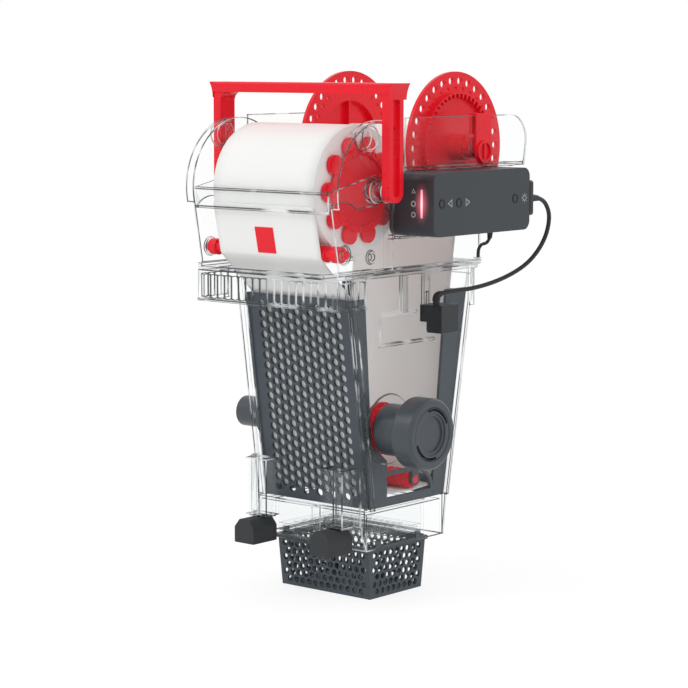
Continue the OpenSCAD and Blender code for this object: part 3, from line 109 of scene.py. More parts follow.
class FilterFinishes(bpy.types.PropertyGroup):
    """Colours of the filter's materials"""

    red: FloatVectorProperty(
        name="Red plastic", description="Handle, reel, flanges and rollers",
        subtype="COLOR", min=0.0, max=1.0, default=(0.88, 0.0105, 0.026))
    screen_grey: FloatVectorProperty(
        name="Screen grey", description="Screens, side plates and basket",
        subtype="COLOR", min=0.0, max=1.0, default=(0.052, 0.067, 0.082))
    box_grey: FloatVectorProperty(
        name="Box grey", description="Motor box and its cover",
        subtype="COLOR", min=0.0, max=1.0, default=(0.034, 0.042, 0.049))
    union_grey: FloatVectorProperty(
        name="Union grey", description="Inlet bodies, nut and plugs",
        subtype="COLOR", min=0.0, max=1.0, default=(0.052, 0.064, 0.076))
    black: FloatVectorProperty(
        name="Black plastic", description="Sensor, cable plug and cords",
        subtype="COLOR", min=0.0, max=1.0, default=(0.018, 0.021, 0.025))
    fleece: FloatVectorProperty(
        name="Fleece", description="Filter fleece",
        subtype="COLOR", min=0.0, max=1.0, default=(0.91, 0.91, 0.885))
    # Painted shade and painted highlight for the acrylic's edges, in place of the dark lines and
    # glints that refraction and reflection draw there.
    edge_painted_shade: FloatVectorProperty(
        name="Acrylic edge, dark", description="Dark stretches of a clear part's edge",
        subtype="COLOR", min=0.0, max=1.0, default=(0.045, 0.052, 0.056))
    edge_painted_highlight: FloatVectorProperty(
        name="Acrylic edge, bright", description="Bright stretches of a clear part's edge",
        subtype="COLOR", min=0.0, max=1.0, default=(0.95, 0.96, 0.97))
    glow: FloatVectorProperty(
        name="Lamp", description="Light of the bar on the motor box",
        subtype="COLOR", min=0.0, max=1.0, default=(1.0, 0.16, 0.24))


class FilterSizes(bpy.types.PropertyGroup):
    """Small sizes that only the look needs"""

    clear_edge: FloatProperty(
        name="Clear edge", description="Width of the polished edge on the acrylic",
        unit="LENGTH", min=0.0001, max=0.001, default=0.0006)
    moulded_edge: FloatProperty(
        name="Moulded edge", description="Rounding of the moulded parts' edges",
        unit="LENGTH", min=0.0001, max=0.001, default=0.0004)
    handle_edge: FloatProperty(
        name="Handle edge", description="Rounding of the carry handle's edges",
        unit="LENGTH", min=0.0002, max=0.002, default=0.0007)
    fleece_layer: FloatProperty(
        name="Fleece layer", description="Spacing of the layers on the roll's ends",
        unit="LENGTH", min=0.0006, max=0.003, default=0.00125)
    fleece_wave: FloatProperty(
        name="Fleece wave", description="How far the hanging web waves",
        unit="LENGTH", min=0.0, max=0.0003, default=0.0002)


# ---------------------------------------------------------------- finishes

def add_node(tree, kind, **values):
    """Adds a shader node and sets its inputs by name, with _ for a space."""
    made = tree.nodes.new("ShaderNode" + kind)
    for name, value in values.items():
        made.inputs[name.replace("_", " ")].default_value = value
    return made


def new_finish(name):
    """An empty node material and its output."""
    material = bpy.data.materials.new(name)
    material.use_nodes = True
    material.node_tree.nodes.clear()
    return material, material.node_tree, material.node_tree.nodes.new("ShaderNodeOutputMaterial")


def grain(tree, scale, detail=3.0, distortion=0.0):
    """Noise on the piece's own coordinates."""
    place = add_node(tree, "TexCoord")
    made = add_node(tree, "TexNoise", Scale=scale, Detail=detail, Distortion=distortion)
    tree.links.new(place.outputs["Object"], made.inputs["Vector"])
    return made.outputs["Fac"]


def maths(tree, operation, first, second, third=None, clamp=False):
    """A maths node on sockets or numbers; gives its result."""
    made = tree.nodes.new("ShaderNodeMath")
    made.operation = operation
    made.use_clamp = clamp
    for place, value in enumerate((first, second, third)):
        if isinstance(value, bpy.types.NodeSocket):
            tree.links.new(value, made.inputs[place])
        elif value is not None:
            made.inputs[place].default_value = value
    return made.outputs[0]


def blend_colours(tree, share, low, high):
    """Blends from one colour to another by a share from 0 to 1."""
    made = tree.nodes.new("ShaderNodeMix")
    made.data_type = "RGBA"
    made.inputs[6].default_value = (*low, 1)
    made.inputs[7].default_value = (*high, 1)
    tree.links.new(share, made.inputs[0])
    return made.outputs[2]


def spread(tree, source, low, high):
    """Maps the middle of a noise onto low to high."""
    made = add_node(tree, "MapRange", From_Min=0.3, From_Max=0.7, To_Min=low, To_Max=high)
    tree.links.new(source, made.inputs["Value"])
    return made.outputs["Result"]


def shades(tree, source, colour, change):
    """A colour that varies by change of itself."""
    return blend_colours(tree, source, [c * (1 - change) for c in colour],
                         [min(c * (1 + change), 1) for c in colour])


def bumps(tree, *layers):
    """Stacks bumps, each (height source, strength, distance in metres)."""
    normal = None
    for source, strength, distance in layers:
        made = add_node(tree, "Bump", Strength=strength, Distance=distance)
        tree.links.new(source, made.inputs["Height"])
        if normal is not None:
            tree.links.new(normal, made.inputs["Normal"])
        normal = made.outputs["Normal"]
    return normal


def moulded(name, colour, roughness, texture=1800.0, relief=0.06, coat=0.0, shine=0.4):
    """Moulded plastic: fine grain, a slow change of shade and uneven gloss."""
    material, tree, out = new_finish(name)
    skin = add_node(tree, "BsdfPrincipled", Coat_Weight=coat, Coat_Roughness=0.12)
    skin.inputs["Specular IOR Level"].default_value = shine
    fine = grain(tree, texture)
    slow = grain(tree, 30.0, 2.0)
    tree.links.new(shades(tree, slow, colour, 0.06), skin.inputs["Base Color"])
    gloss = spread(tree, fine, roughness - 0.05, roughness + 0.06)
    tree.links.new(gloss, skin.inputs["Roughness"])
    tree.links.new(
        bumps(tree, (slow, 0.05, 0.0004), (fine, relief, 0.00006)), skin.inputs["Normal"])
    tree.links.new(skin.outputs[0], out.inputs["Surface"])
    return material


def acrylic(name, film, gain, painted_shade, painted_highlight, roughness, tint, pitch):
    """Clear acrylic: a film of reflection over a see-through body, its colour in runs of painted
    shade and painted highlight.
    """
    material, tree, out = new_finish(name)
    skin = add_node(tree, "BsdfPrincipled", Roughness=roughness)
    # Painted shade and painted highlights: noise runs the film's colour between its dark and
    # bright tones, in place of the refraction lines and glints of real acrylic.
    runs = add_node(tree, "MapRange", From_Min=0.50, From_Max=0.60)
    tree.links.new(grain(tree, pitch, 2.0, 0.6), runs.inputs["Value"])
    shade = blend_colours(tree, runs.outputs["Result"], painted_shade, painted_highlight)
    tree.links.new(shade, skin.inputs["Base Color"])
    through = add_node(tree, "BsdfTransparent", Color=(*tint, 1))
    facing = add_node(tree, "LayerWeight", Blend=0.5)
    steep = maths(tree, "POWER", facing.outputs["Facing"], 4.0)
    share = maths(tree, "MULTIPLY_ADD", steep, gain, film, clamp=True)
    mix = tree.nodes.new("ShaderNodeMixShader")
    tree.links.new(bumps(tree, (grain(tree, 60.0, 2.0), 0.04, 0.001)), skin.inputs["Normal"])
    tree.links.new(share, mix.inputs[0])
    tree.links.new(through.outputs[0], mix.inputs[1])
    tree.links.new(skin.outputs[0], mix.inputs[2])
    tree.links.new(mix.outputs[0], out.inputs["Surface"])
    return material


def felted_with_painted_glow(name, colour):
    """White non-woven fleece: soft fibres over a slightly lumpy pile, with a faint painted glow.
    """
    material, tree, out = new_finish(name)
    skin = add_node(tree, "BsdfPrincipled", Roughness=0.95, Sheen_Weight=0.35, Sheen_Roughness=0.5)
    # Painted light: a faint white glow lightens the fleece where the screens and frames shade it.
    skin.inputs["Emission Color"].default_value = (1.0, 1.0, 0.97, 1)
    skin.inputs["Emission Strength"].default_value = 0.1
    fibres = grain(tree, 2600.0, 4.0, 1.5)
    pile = grain(tree, 420.0, 3.0)
    tree.links.new(shades(tree, pile, colour, 0.045), skin.inputs["Base Color"])
    tree.links.new(
        bumps(tree, (pile, 0.35, 0.0004), (fibres, 0.5, 0.0002)), skin.inputs["Normal"])
    tree.links.new(skin.outputs[0], out.inputs["Surface"])
    return material


def lit_bar(name, colour):
    """Frosted lens, brightest along its middle."""
    material, tree, out = new_finish(name)
    skin = add_node(tree, "BsdfPrincipled", Base_Color=(0.9, 0.45, 0.5, 1), Roughness=0.35)
    fall = falloff(tree, 0.0013, 0.0115)
    ramp = tree.nodes.new("ShaderNodeValToRGB")
    ramp.color_ramp.elements[0].color = (*[c * 0.35 for c in colour], 1)
    ramp.color_ramp.elements[1].color = (1.0, 0.72, 0.78, 1)
    ramp.color_ramp.elements[1].position = 0.75
    tree.links.new(fall, ramp.inputs[0])
    tree.links.new(ramp.outputs[0], skin.inputs["Emission Color"])
    skin.inputs["Emission Strength"].default_value = 0.9
    tree.links.new(skin.outputs[0], out.inputs["Surface"])
    return material


def falloff(tree, half_width, half_height):
    """1 on the lit bar's middle line, falling to 0 at the given distances."""
    place = add_node(tree, "TexCoord")
    centre = add_node(tree, "Mapping")
    centre.inputs["Location"].default_value = (
        -LENS_X / half_width, 0.0, -BUTTON_Z / half_height)
    centre.inputs["Scale"].default_value = (1 / half_width, 0.0, 1 / half_height)
    ball = tree.nodes.new("ShaderNodeTexGradient")
    ball.gradient_type = "SPHERICAL"
    tree.links.new(place.outputs["Object"], centre.inputs["Vector"])
    tree.links.new(centre.outputs["Vector"], ball.inputs["Vector"])
    return ball.outputs["Fac"]


def box_plastic(name, colour, glow):
    """The motor box's plastic, with the lamp's light on the face round its slot."""
    material = moulded(name, colour, 0.42, texture=2400.0)
    tree = material.node_tree
    skin = next(n for n in tree.nodes if n.type == "BSDF_PRINCIPLED")
    halo = falloff(tree, 0.0085, 0.018)
    place = add_node(tree, "TexCoord")
    split = tree.nodes.new("ShaderNodeSeparateXYZ")
    front = add_node(tree, "MapRange", From_Min=CONTROLLER_Y0 + 0.0004,
                     From_Max=CONTROLLER_Y0 + 0.0012, To_Min=1.0, To_Max=0.0)
    tree.links.new(place.outputs["Object"], split.inputs[0])
    tree.links.new(split.outputs["Y"], front.inputs["Value"])
    light = maths(tree, "MULTIPLY", maths(tree, "POWER", halo, 2.2), front.outputs["Result"])
    skin.inputs["Emission Color"].default_value = (*glow, 1)
    tree.links.new(light, skin.inputs["Emission Strength"])
    return material


def finish_of(name):
    """The material of that finish, made once."""
    known = bpy.data.materials.get(name)
    if known:
        return known
    look = bpy.context.scene.filter_finishes
    makers = {
        "red_plastic": lambda: moulded(
            name, look.red, 0.30, texture=700.0, relief=0.008, coat=0.12, shine=0.2),
        "screen_plastic": lambda: moulded(name, look.screen_grey, 0.46, texture=2200.0),
        "box_plastic": lambda: box_plastic(name, look.box_grey, look.glow),
        "union_plastic": lambda: moulded(
            name, look.union_grey, 0.33, texture=2000.0, shine=0.45),
        "black_plastic": lambda: moulded(name, look.black, 0.36, texture=2000.0),
        "rubber": lambda: moulded(
            name, [c * 1.25 for c in look.black], 0.72, texture=1400.0, relief=0.2),
        "cable_sheath": lambda: moulded(
            name, [c * 0.8 for c in look.black], 0.5, texture=1500.0),
        "card": lambda: moulded(name, (0.62, 0.50, 0.34), 0.85, texture=1200.0, relief=0.3),
        "board": lambda: moulded(name, (0.04, 0.22, 0.09), 0.4, texture=700.0),
        "key_black": lambda: moulded(name, (0.006, 0.007, 0.008), 0.5, texture=1400.0),
        "mark": lambda: moulded(name, (0.42, 0.44, 0.45), 0.6, texture=2000.0),
        "metal": lambda: motor_can(name),
        "fleece": lambda: felted_with_painted_glow(name, look.fleece),
        "lit_bar": lambda: lit_bar(name, look.glow),
        # Painted shade and painted highlights: the rim and edge films and the edges' greyer
        # see-through tint draw the dark lines and glints that refraction and reflection give
        # polished acrylic.
        "acrylic_face": lambda: acrylic(
            name, film=0.014, gain=0.22, painted_shade=(0.80, 0.82, 0.83), painted_highlight=(0.94, 0.95, 0.96),
            roughness=0.05, tint=(0.995, 0.998, 0.998), pitch=20.0),
        "acrylic_rim": lambda: acrylic(
            name, film=0.16, gain=0.35, painted_shade=look.edge_painted_shade, painted_highlight=look.edge_painted_highlight,
            roughness=0.08, tint=(0.97, 0.98, 0.985), pitch=60.0),
        "acrylic_edge": lambda: acrylic(
            name, film=0.85, gain=0.15, painted_shade=look.edge_painted_shade, painted_highlight=look.edge_painted_highlight,
            roughness=0.10, tint=(0.75, 0.79, 0.81), pitch=26.0),
    }
    return makers[name]()


def motor_can(name):
    """Drawn steel can of the gearmotor."""
    material, tree, out = new_finish(name)
    skin = add_node(tree, "BsdfPrincipled", Metallic=1.0)
    fine = grain(tree, 900.0, 2.0)
    tree.links.new(shades(tree, fine, (0.55, 0.56, 0.58), 0.06), skin.inputs["Base Color"])
    tree.links.new(spread(tree, fine, 0.28, 0.42), skin.inputs["Roughness"])
    tree.links.new(skin.outputs[0], out.inputs["Surface"])
    return material


# ---------------------------------------------------------------- pieces

def new_piece(name, bm, materials, body, slot, *nodes):
    """Makes an object of a bmesh, with its finishes, body and the nodes it stands for; the slot is
    not used.
    """
    mesh = bpy.data.meshes.new(name)
    bm.to_mesh(mesh)
    bm.free()
    for face in mesh.polygons:
        face.use_smooth = True
    for material in materials:
        mesh.materials.append(finish_of(material))
    piece = bpy.data.objects.new(name, mesh)
    bpy.context.scene.collection.objects.link(piece)
    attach(piece, body)
    if nodes:
        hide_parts(*nodes)
    return piece


def merged_copy(node):
    """A CAD node's mesh as a bmesh with its points merged."""
    bm = bmesh.new()
    bm.from_mesh(frame["nodes"][node].data)
    bmesh.ops.remove_doubles(bm, verts=bm.verts, dist=SAME_POINT)
    return bm


def room_beside(edge):
    """How wide an edge's rounding may be before it runs past the faces beside it."""
    room = 1.0
    for loop in edge.link_loops:
        for corner, side in ((loop, loop.link_loop_prev.edge),
                             (loop.link_loop_next, loop.link_loop_next.edge)):
            angle = corner.calc_angle()
            if angle < STRAIGHT_ON:
                room = min(room, ROOM_SHARE * side.calc_length() * math.sin(angle))
    return room


def mark_edges(bm, width):
    """Marks the sharp edges to round, each as wide as the width and its room allow."""
    layer = bm.edges.layers.float.new("bevel_weight_edge")
    for edge in bm.edges:
        if len(edge.link_faces) == 2 and edge.calc_face_angle(0.0) > SHARP:
            edge[layer] = min(1.0, room_beside(edge) / width)


def round_edges(piece, width, segments=2, edge_material=-1):
    """Rounds a piece's marked edges and keeps its flats flat."""
    bevel = piece.modifiers.new("rounded", "BEVEL")
    bevel.width = width
    bevel.segments = segments
    bevel.limit_method = "WEIGHT"
    bevel.use_clamp_overlap = edge_material < 0
    bevel.material = edge_material
    bevel.profile = 0.5
    normals = piece.modifiers.new("flats", "WEIGHTED_NORMAL")
    normals.keep_sharp = False
    return piece


def body_of_node(node):
    """The body that a node belongs to."""
    bodies = frame["record"]["behaviour"]["bodies"]
    return next(name for name, members in bodies.items() if node in members)


def slot_of_node(node):
    """A node's material slot in the record."""
    return next(p["material_slot"] for p in frame["record"]["subparts"] if p["node"] == node)


def softened(node, material, width=None, segments=2):
    """A moulded copy of a node: same shape, rounded edges and a finish."""
    bm = merged_copy(node)
    bmesh.ops.dissolve_limit(bm, angle_limit=FLAT, verts=bm.verts, edges=bm.edges)
    for face in bm.faces:
        face.material_index = 0
    width = width or bpy.context.scene.filter_sizes.moulded_edge
    mark_edges(bm, width)
    piece = new_piece(
        node + "_moulded", bm, [material], body_of_node(node), slot_of_node(node), node)
    return round_edges(piece, width, segments)


def clear_copy(node, rims=True, width=None):
    """A polished copy of a clear node: faces, the plates' rims and the edges look different."""
    bm = merged_copy(node)
    tree = BVHTree.FromBMesh(bm)
    for face in bm.faces:
        inward = -face.normal
        start = face.calc_center_median() + inward * SAME_POINT
        hit = tree.ray_cast(start, inward)
        deep = hit[0] is not None and hit[3] > RIM_DEPTH
        face.material_index = 1 if rims and deep else 0
    bmesh.ops.dissolve_limit(
        bm, angle_limit=FLAT, verts=bm.verts, edges=bm.edges, delimit={"MATERIAL"})
    width = width or bpy.context.scene.filter_sizes.clear_edge
    mark_edges(bm, width)
    piece = new_piece(
        node + "_clear", bm, ["acrylic_face", "acrylic_rim", "acrylic_edge"],
        body_of_node(node), slot_of_node(node), node)
    return round_edges(piece, width, 1, edge_material=2)


def smooth_route(points):
    """The cord's centreline as part.scad draws it, in metres."""
    p = [Vector(q) * MM for q in points]
    last = len(p) - 1
    line = []
    for i in range(last):
        a, d = p[i], p[i + 1]
        b = a + (p[min(i + 1, last)] - p[max(i - 1, 0)]) / 6
        c = d - (p[min(i + 2, last)] - p[i]) / 6
        for k in range(4):
            t = k / 4
            line.append(a * (1 - t) ** 3 + b * 3 * t * (1 - t) ** 2
                        + c * 3 * t * t * (1 - t) + d * t ** 3)
    line.append(p[last])
    return line


def lay_cord(name, route, diameter, node):
    """A cord as a curve with a round section."""
    line = smooth_route(route)
    curve = bpy.data.curves.new(name, "CURVE")
    curve.dimensions = "3D"
    curve.bevel_depth = diameter * MM / 2
    curve.bevel_resolution = 5
    curve.use_fill_caps = True
    spline = curve.splines.new("POLY")
    spline.points.add(len(line) - 1)
    for point, place in zip(spline.points, line):
        point.co = (*place, 1)
    spline.use_smooth = True
    curve.materials.append(finish_of("cable_sheath"))
    piece = bpy.data.objects.new(name, curve)
    bpy.context.scene.collection.objects.link(piece)
    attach(piece, body_of_node(node))
    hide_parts(node)
    return piece


def lathe(bm, profile, axis_yz, steps, closed=False):
    """Spins (x, r) points round an axis along X."""
    y, z = axis_yz
    verts = [bm.verts.new((x, y + r, z)) for x, r in profile]
    edges = [bm.edges.new(pair) for pair in zip(verts, verts[1:])]
    if closed:
        edges.append(bm.edges.new((verts[-1], verts[0])))
    bmesh.ops.spin(
        bm, geom=verts + edges, cent=(0, y, z), axis=(1, 0, 0), angle=2 * math.pi,
        steps=steps, use_merge=True)
    bmesh.ops.remove_doubles(bm, verts=bm.verts, dist=0.000001)
    bmesh.ops.recalc_face_normals(bm, faces=bm.faces)


# ---------------------------------------------------------------- operators

# Camera: place, lens in mm, and where it looks, as azimuth and pitch in degrees
CAMERA_PLACE = (1.1745, -1.3843, 0.4129)
CAMERA_LENS = 123.64
CAMERA_AZIMUTH = 40.5
CAMERA_PITCH = 7.0
# Lamps: name, place, size in metres and power in watts
LAMPS = (
    ("key_lamp", (-0.9, -1.5, 1.7), 0.9, 9.5),
    ("side_lamp", (1.8, -0.6, 1.1), 0.9, 1.6),
    ("back_lamp", (0.3, 1.7, 1.4), 1.0, 2.5),
)
# What the lamps point at
LAMP_TARGET = (0, 0, 0.2)
# Clear walls stand over ten deep at the legs
SEE_THROUGH_LAYERS = 32


class FILTER_OT_stage(bpy.types.Operator):
    """Camera, lamps, world and a pale floor"""

    bl_idname = "filter.stage"
    bl_label = "Stage"

    def execute(self, context):
        scene = context.scene
        scene.view_settings.view_transform = "Standard"
        eye = bpy.data.cameras.new("Camera")
        eye.lens = CAMERA_LENS
        eye.sensor_width = 36.0
        eye.sensor_fit = "HORIZONTAL"
        eye.clip_end = 60.0
        camera = bpy.data.objects.new("Camera", eye)
        camera.location = CAMERA_PLACE
        azimuth, pitch = math.radians(CAMERA_AZIMUTH), math.radians(CAMERA_PITCH)
        ahead = Vector((-math.sin(azimuth) * math.cos(pitch),
                        math.cos(azimuth) * math.cos(pitch), -math.sin(pitch)))
        camera.rotation_euler = ahead.to_track_quat("-Z", "Y").to_euler()
        scene.collection.objects.link(camera)
        scene.camera = camera

        bm = bmesh.new()
        bmesh.ops.create_grid(bm, x_segments=8, y_segments=8, size=12.0)
        mesh = bpy.data.meshes.new("floor")
        bm.to_mesh(mesh)
        bm.free()
        floor = bpy.data.objects.new("floor", mesh)
        scene.collection.objects.link(floor)
        mesh.materials.append(self.floor_finish())
        scene.cycles.transparent_max_bounces = SEE_THROUGH_LAYERS
        self.world(scene)
        for lamp in LAMPS:
            self.lamp(scene, *lamp)
        return {"FINISHED"}

    def lamp(self, scene, name, place, size, power):
        """A round soft lamp that points at the part."""
        light = bpy.data.lights.new(name, "AREA")
        light.shape = "DISK"
        light.size = size
        light.energy = power
        lamp = bpy.data.objects.new(name, light)
        lamp.location = place
        ahead = Vector(LAMP_TARGET) - Vector(place)
        lamp.rotation_euler = ahead.to_track_quat("-Z", "Y").to_euler()
        scene.collection.objects.link(lamp)

    def seen(self, tree):
        """1 for rays that show the background: camera, mirror and see-through rays."""
        path = tree.nodes.new("ShaderNodeLightPath")
        total = path.outputs["Is Camera Ray"]
        for name in ("Is Glossy Ray", "Is Transmission Ray"):
            total = maths(tree, "ADD", total, path.outputs[name], clamp=True)
        return total

    def floor_finish(self):
        """Pale floor that lights the part and looks white but for its shadow."""
        material, tree, out = new_finish("pale_floor")
        matt = tree.nodes.new("ShaderNodeBsdfDiffuse")
        shade = blend_colours(tree, self.seen(tree), (0.85, 0.85, 0.85), (0.25, 0.25, 0.25))
        tree.links.new(shade, matt.inputs["Color"])
        white = add_node(tree, "Emission", Color=(1, 1, 1, 1))
        both = tree.nodes.new("ShaderNodeAddShader")
        glow = maths(tree, "MULTIPLY", self.seen(tree), 0.80)
        tree.links.new(glow, white.inputs["Strength"])
        tree.links.new(matt.outputs[0], both.inputs[0])
        tree.links.new(white.outputs[0], both.inputs[1])
        tree.links.new(both.outputs[0], out.inputs["Surface"])
        return material

    def world(self, scene):
        """White surroundings, a little dimmer as a light than they look."""
        world = bpy.data.worlds.new("studio")
        world.use_nodes = True
        scene.world = world
        tree = world.node_tree
        back = tree.nodes["Background"]
        back.inputs["Color"].default_value = (1, 1, 1, 1)
        level = add_node(tree, "MapRange", From_Min=0.0, From_Max=1.0, To_Min=0.82, To_Max=1.0)
        tree.links.new(self.seen(tree), level.inputs["Value"])
        tree.links.new(level.outputs["Result"], back.inputs["Strength"])


# Cable sleeves: sides, and how far their rings stand out
RELIEF_SIDES = 24
RELIEF_RING = 0.00025


class FILTER_OT_cords(bpy.types.Operator):
    """Sensor cable and the short signal lead"""

    bl_idname = "filter.cords"
    bl_label = "Cords"

    def execute(self, context):
        lay_cord("sensor_cable_sheath", SENSOR_CABLE, SENSOR_CABLE_D, "sensor_cable")
        lay_cord("signal_lead_sheath", SIGNAL_LEAD, SIGNAL_LEAD_D, "signal_lead")
        self.relief("plug_relief", SENSOR_CABLE, length=0.0105, wide=0.0031, narrow=0.0020)
        self.relief("gland_relief", SENSOR_CABLE[::-1], length=0.0085, wide=0.0030, narrow=0.0020)
        self.relief("lead_relief", SIGNAL_LEAD, length=0.0062, wide=0.0025, narrow=0.0016)
        return {"FINISHED"}

    def relief(self, name, route, length, wide, narrow):
        """Tapered sleeve round a cord where it enters a housing, with shallow rings."""
        line = smooth_route(route)
        bm = bmesh.new()
        loops, gone = [], 0.0
        for i, (a, b) in enumerate(zip(line, line[1:])):
            share = gone / length
            if share > 1.0:
                break
            ahead = (b - line[max(i - 1, 0)]).normalized()
            turn = ahead.to_track_quat("Z", "Y").to_matrix().to_4x4()
            for shift, swell in ((0.0, 0.0), (0.35, RELIEF_RING), (0.7, 0.0)):
                down = min(share + shift * (b - a).length / length, 1.0)
                made = bmesh.ops.create_circle(
                    bm, segments=RELIEF_SIDES, radius=wide + (narrow - wide) * down + swell,
                    matrix=Matrix.Translation(a + (b - a) * shift) @ turn)
                loops.append(list({e for v in made["verts"] for e in v.link_edges}))
            gone += (b - a).length
        for low, high in zip(loops, loops[1:]):
            bmesh.ops.bridge_loops(bm, edges=low + high)
        bmesh.ops.holes_fill(bm, edges=loops[0] + loops[-1], sides=RELIEF_SIDES)
        bmesh.ops.recalc_face_normals(bm, faces=bm.faces)
        new_piece(name, bm, ["cable_sheath"], "housing", "cable")


class FILTER_OT_clear_parts(bpy.types.Operator):
    """Chamber, deck, comb, cheeks, guard, legs, tray and clip in clear acrylic"""

    bl_idname = "filter.clear_parts"
    bl_label = "Clear parts"

    def execute(self, context):
        for node in ("chamber", "deck", "overflow_comb", "cheek_right", "cheek_left",
                     "roll_guard"):
            clear_copy(node)
        for node in ("leg_right", "leg_left", "lead_clip"):
            clear_copy(node, rims=False)
        clear_copy("diffuser", rims=False, width=0.0002)
        return {"FINISHED"}


class FILTER_OT_screens(bpy.types.Operator):
    """Perforated screens, side plates, guide rods and the strainer basket"""

    bl_idname = "filter.screens"
    bl_label = "Screens and basket"

    def execute(self, context):
        for node, width in (("front_screen", 0.0003), ("rear_screen", 0.0003),
                            ("front_frame", 0.0004), ("rear_frame", 0.0004),
                            ("side_plate_right", 0.0004), ("side_plate_left", 0.0004),
                            ("guide_rods", 0.0004), ("basket", 0.00035)):
            softened(node, "screen_plastic", width)
        return {"FINISHED"}


class FILTER_OT_red_parts(bpy.types.Operator):
    """Handle, reel, flanges, rollers, latch, lock rings and tab"""

    bl_idname = "filter.red_parts"
    bl_label = "Red parts"

    def execute(self, context):
        sizes = context.scene.filter_sizes
        softened("handle", "red_plastic", sizes.handle_edge, 3)
        for node, width in (("reel_disc_right", 0.00025), ("reel_disc_left", 0.0003),
                            ("reel_drum", 0.0003), ("spool_flange_right", 0.0004),
                            ("spool_flange_left", 0.0004), ("guide_roller", 0.0006),
                            ("bottom_roller", 0.0003), ("reel_latch", 0.0006),
                            ("inlet_lock_rings", 0.0003), ("fleece_tag", 0.00015)):
            softened(node, "red_plastic", width)
        return {"FINISHED"}


# New roll: bore radius, sides, and how far its outside and ends are uneven
ROLL_BORE = 0.017
ROLL_SIDES = 120
ROLL_LUMP = 0.00035
END_SWIRL = 0.00025
# Spacing of the web's points
WEB_STEP = 0.005


class FILTER_OT_fleece_roll(bpy.types.Operator):
    """New fleece roll with its layers showing on both ends, and its card core"""

    bl_idname = "filter.fleece_roll"
    bl_label = "Fleece roll"

    def execute(self, context):
        step = context.scene.filter_sizes.fleece_layer
        low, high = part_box("fleece_roll")
        outer = (high.y - low.y) / 2
        inner = ROLL_BORE
        layers = int((outer - inner) / step)
        end = []
        for i in range(layers):
            r = outer - 0.0009 - i * (outer - inner - 0.0012) / layers
            end += [(high.x - 0.00012, r), (high.x - 0.00045, r - step * 0.5)]
        side = [(x / 4 * high.x * 0.996, outer - 0.00002) for x in range(4, -5, -1)]
        profile = ([(high.x, inner)] + end[::-1] + [(high.x - 0.0001, outer - 0.0005)] + side
                   + [(-high.x + 0.0001, outer - 0.0005)] + [(-x, r) for x, r in end]
                   + [(-high.x, inner)])
        bm = bmesh.new()
        lathe(bm, profile, SPOOL, ROLL_SIDES, closed=True)
        for vert in bm.verts:
            out = Vector((0, vert.co.y - SPOOL[0], vert.co.z - SPOOL[1]))
            if out.length > outer - 0.0006:
                place = Vector((vert.co.x * 60, vert.co.y * 90, vert.co.z * 90))
                lump = 0.5 + 0.5 * noise.noise(place)
                vert.co -= out.normalized() * lump * ROLL_LUMP
            elif abs(vert.co.x) > high.x * 0.98:
                swirl = noise.noise(Vector((out.length * 900, out.y * 40, out.z * 40)))
                vert.co.x -= math.copysign(END_SWIRL * (0.5 + 0.5 * swirl), vert.co.x)
        new_piece("fleece_roll_wound", bm, ["fleece"], "supply_roll", "fleece", "fleece_roll")
        softened("roll_core", "card", 0.0002)
        return {"FINISHED"}


class FILTER_OT_fleece_web(bpy.types.Operator):
    """Fleece web from the roll to the reel, and the used fleece on the drum"""

    bl_idname = "filter.fleece_web"
    bl_label = "Fleece web"

    def execute(self, context):
        wave = context.scene.filter_sizes.fleece_wave
        low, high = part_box("fleece_web")
        bm = merged_copy("fleece_web")
        both_sides = sum(f.calc_area() for f in bm.faces if abs(f.normal.x) < 0.5)
        for axis, start, stop in ((0, low.x, high.x), (2, low.z, high.z)):
            count = int((stop - start) / WEB_STEP)
            for i in range(1, count):
                place, normal = Vector(), Vector()
                place[axis] = start + (stop - start) * i / count
                normal[axis] = 1.0
                bmesh.ops.bisect_plane(
                    bm, geom=bm.verts[:] + bm.edges[:] + bm.faces[:], dist=1e-7,
                    plane_co=place, plane_no=normal)
        for vert in bm.verts:
            vert.co.y += wave * noise.noise(Vector((vert.co.x * 45, 3.1, vert.co.z * 30)))
        piece = new_piece("fleece_web_sheet", bm, ["fleece"], "housing", "fleece", "fleece_web")
        softened("used_fleece", "fleece", 0.0003)
        return {"FINISHED"}


# Sides of a button's cap
BUTTON_SIDES = 40
# Marks: gap to the box, thickness, the last one's place and its dots' circle
MARK_GAP = 0.00002
MARK_THICK = 0.0001
SUN_Y = 0.0805
SUN_R = 0.0033
LAMP_MARK_X = 0.0858


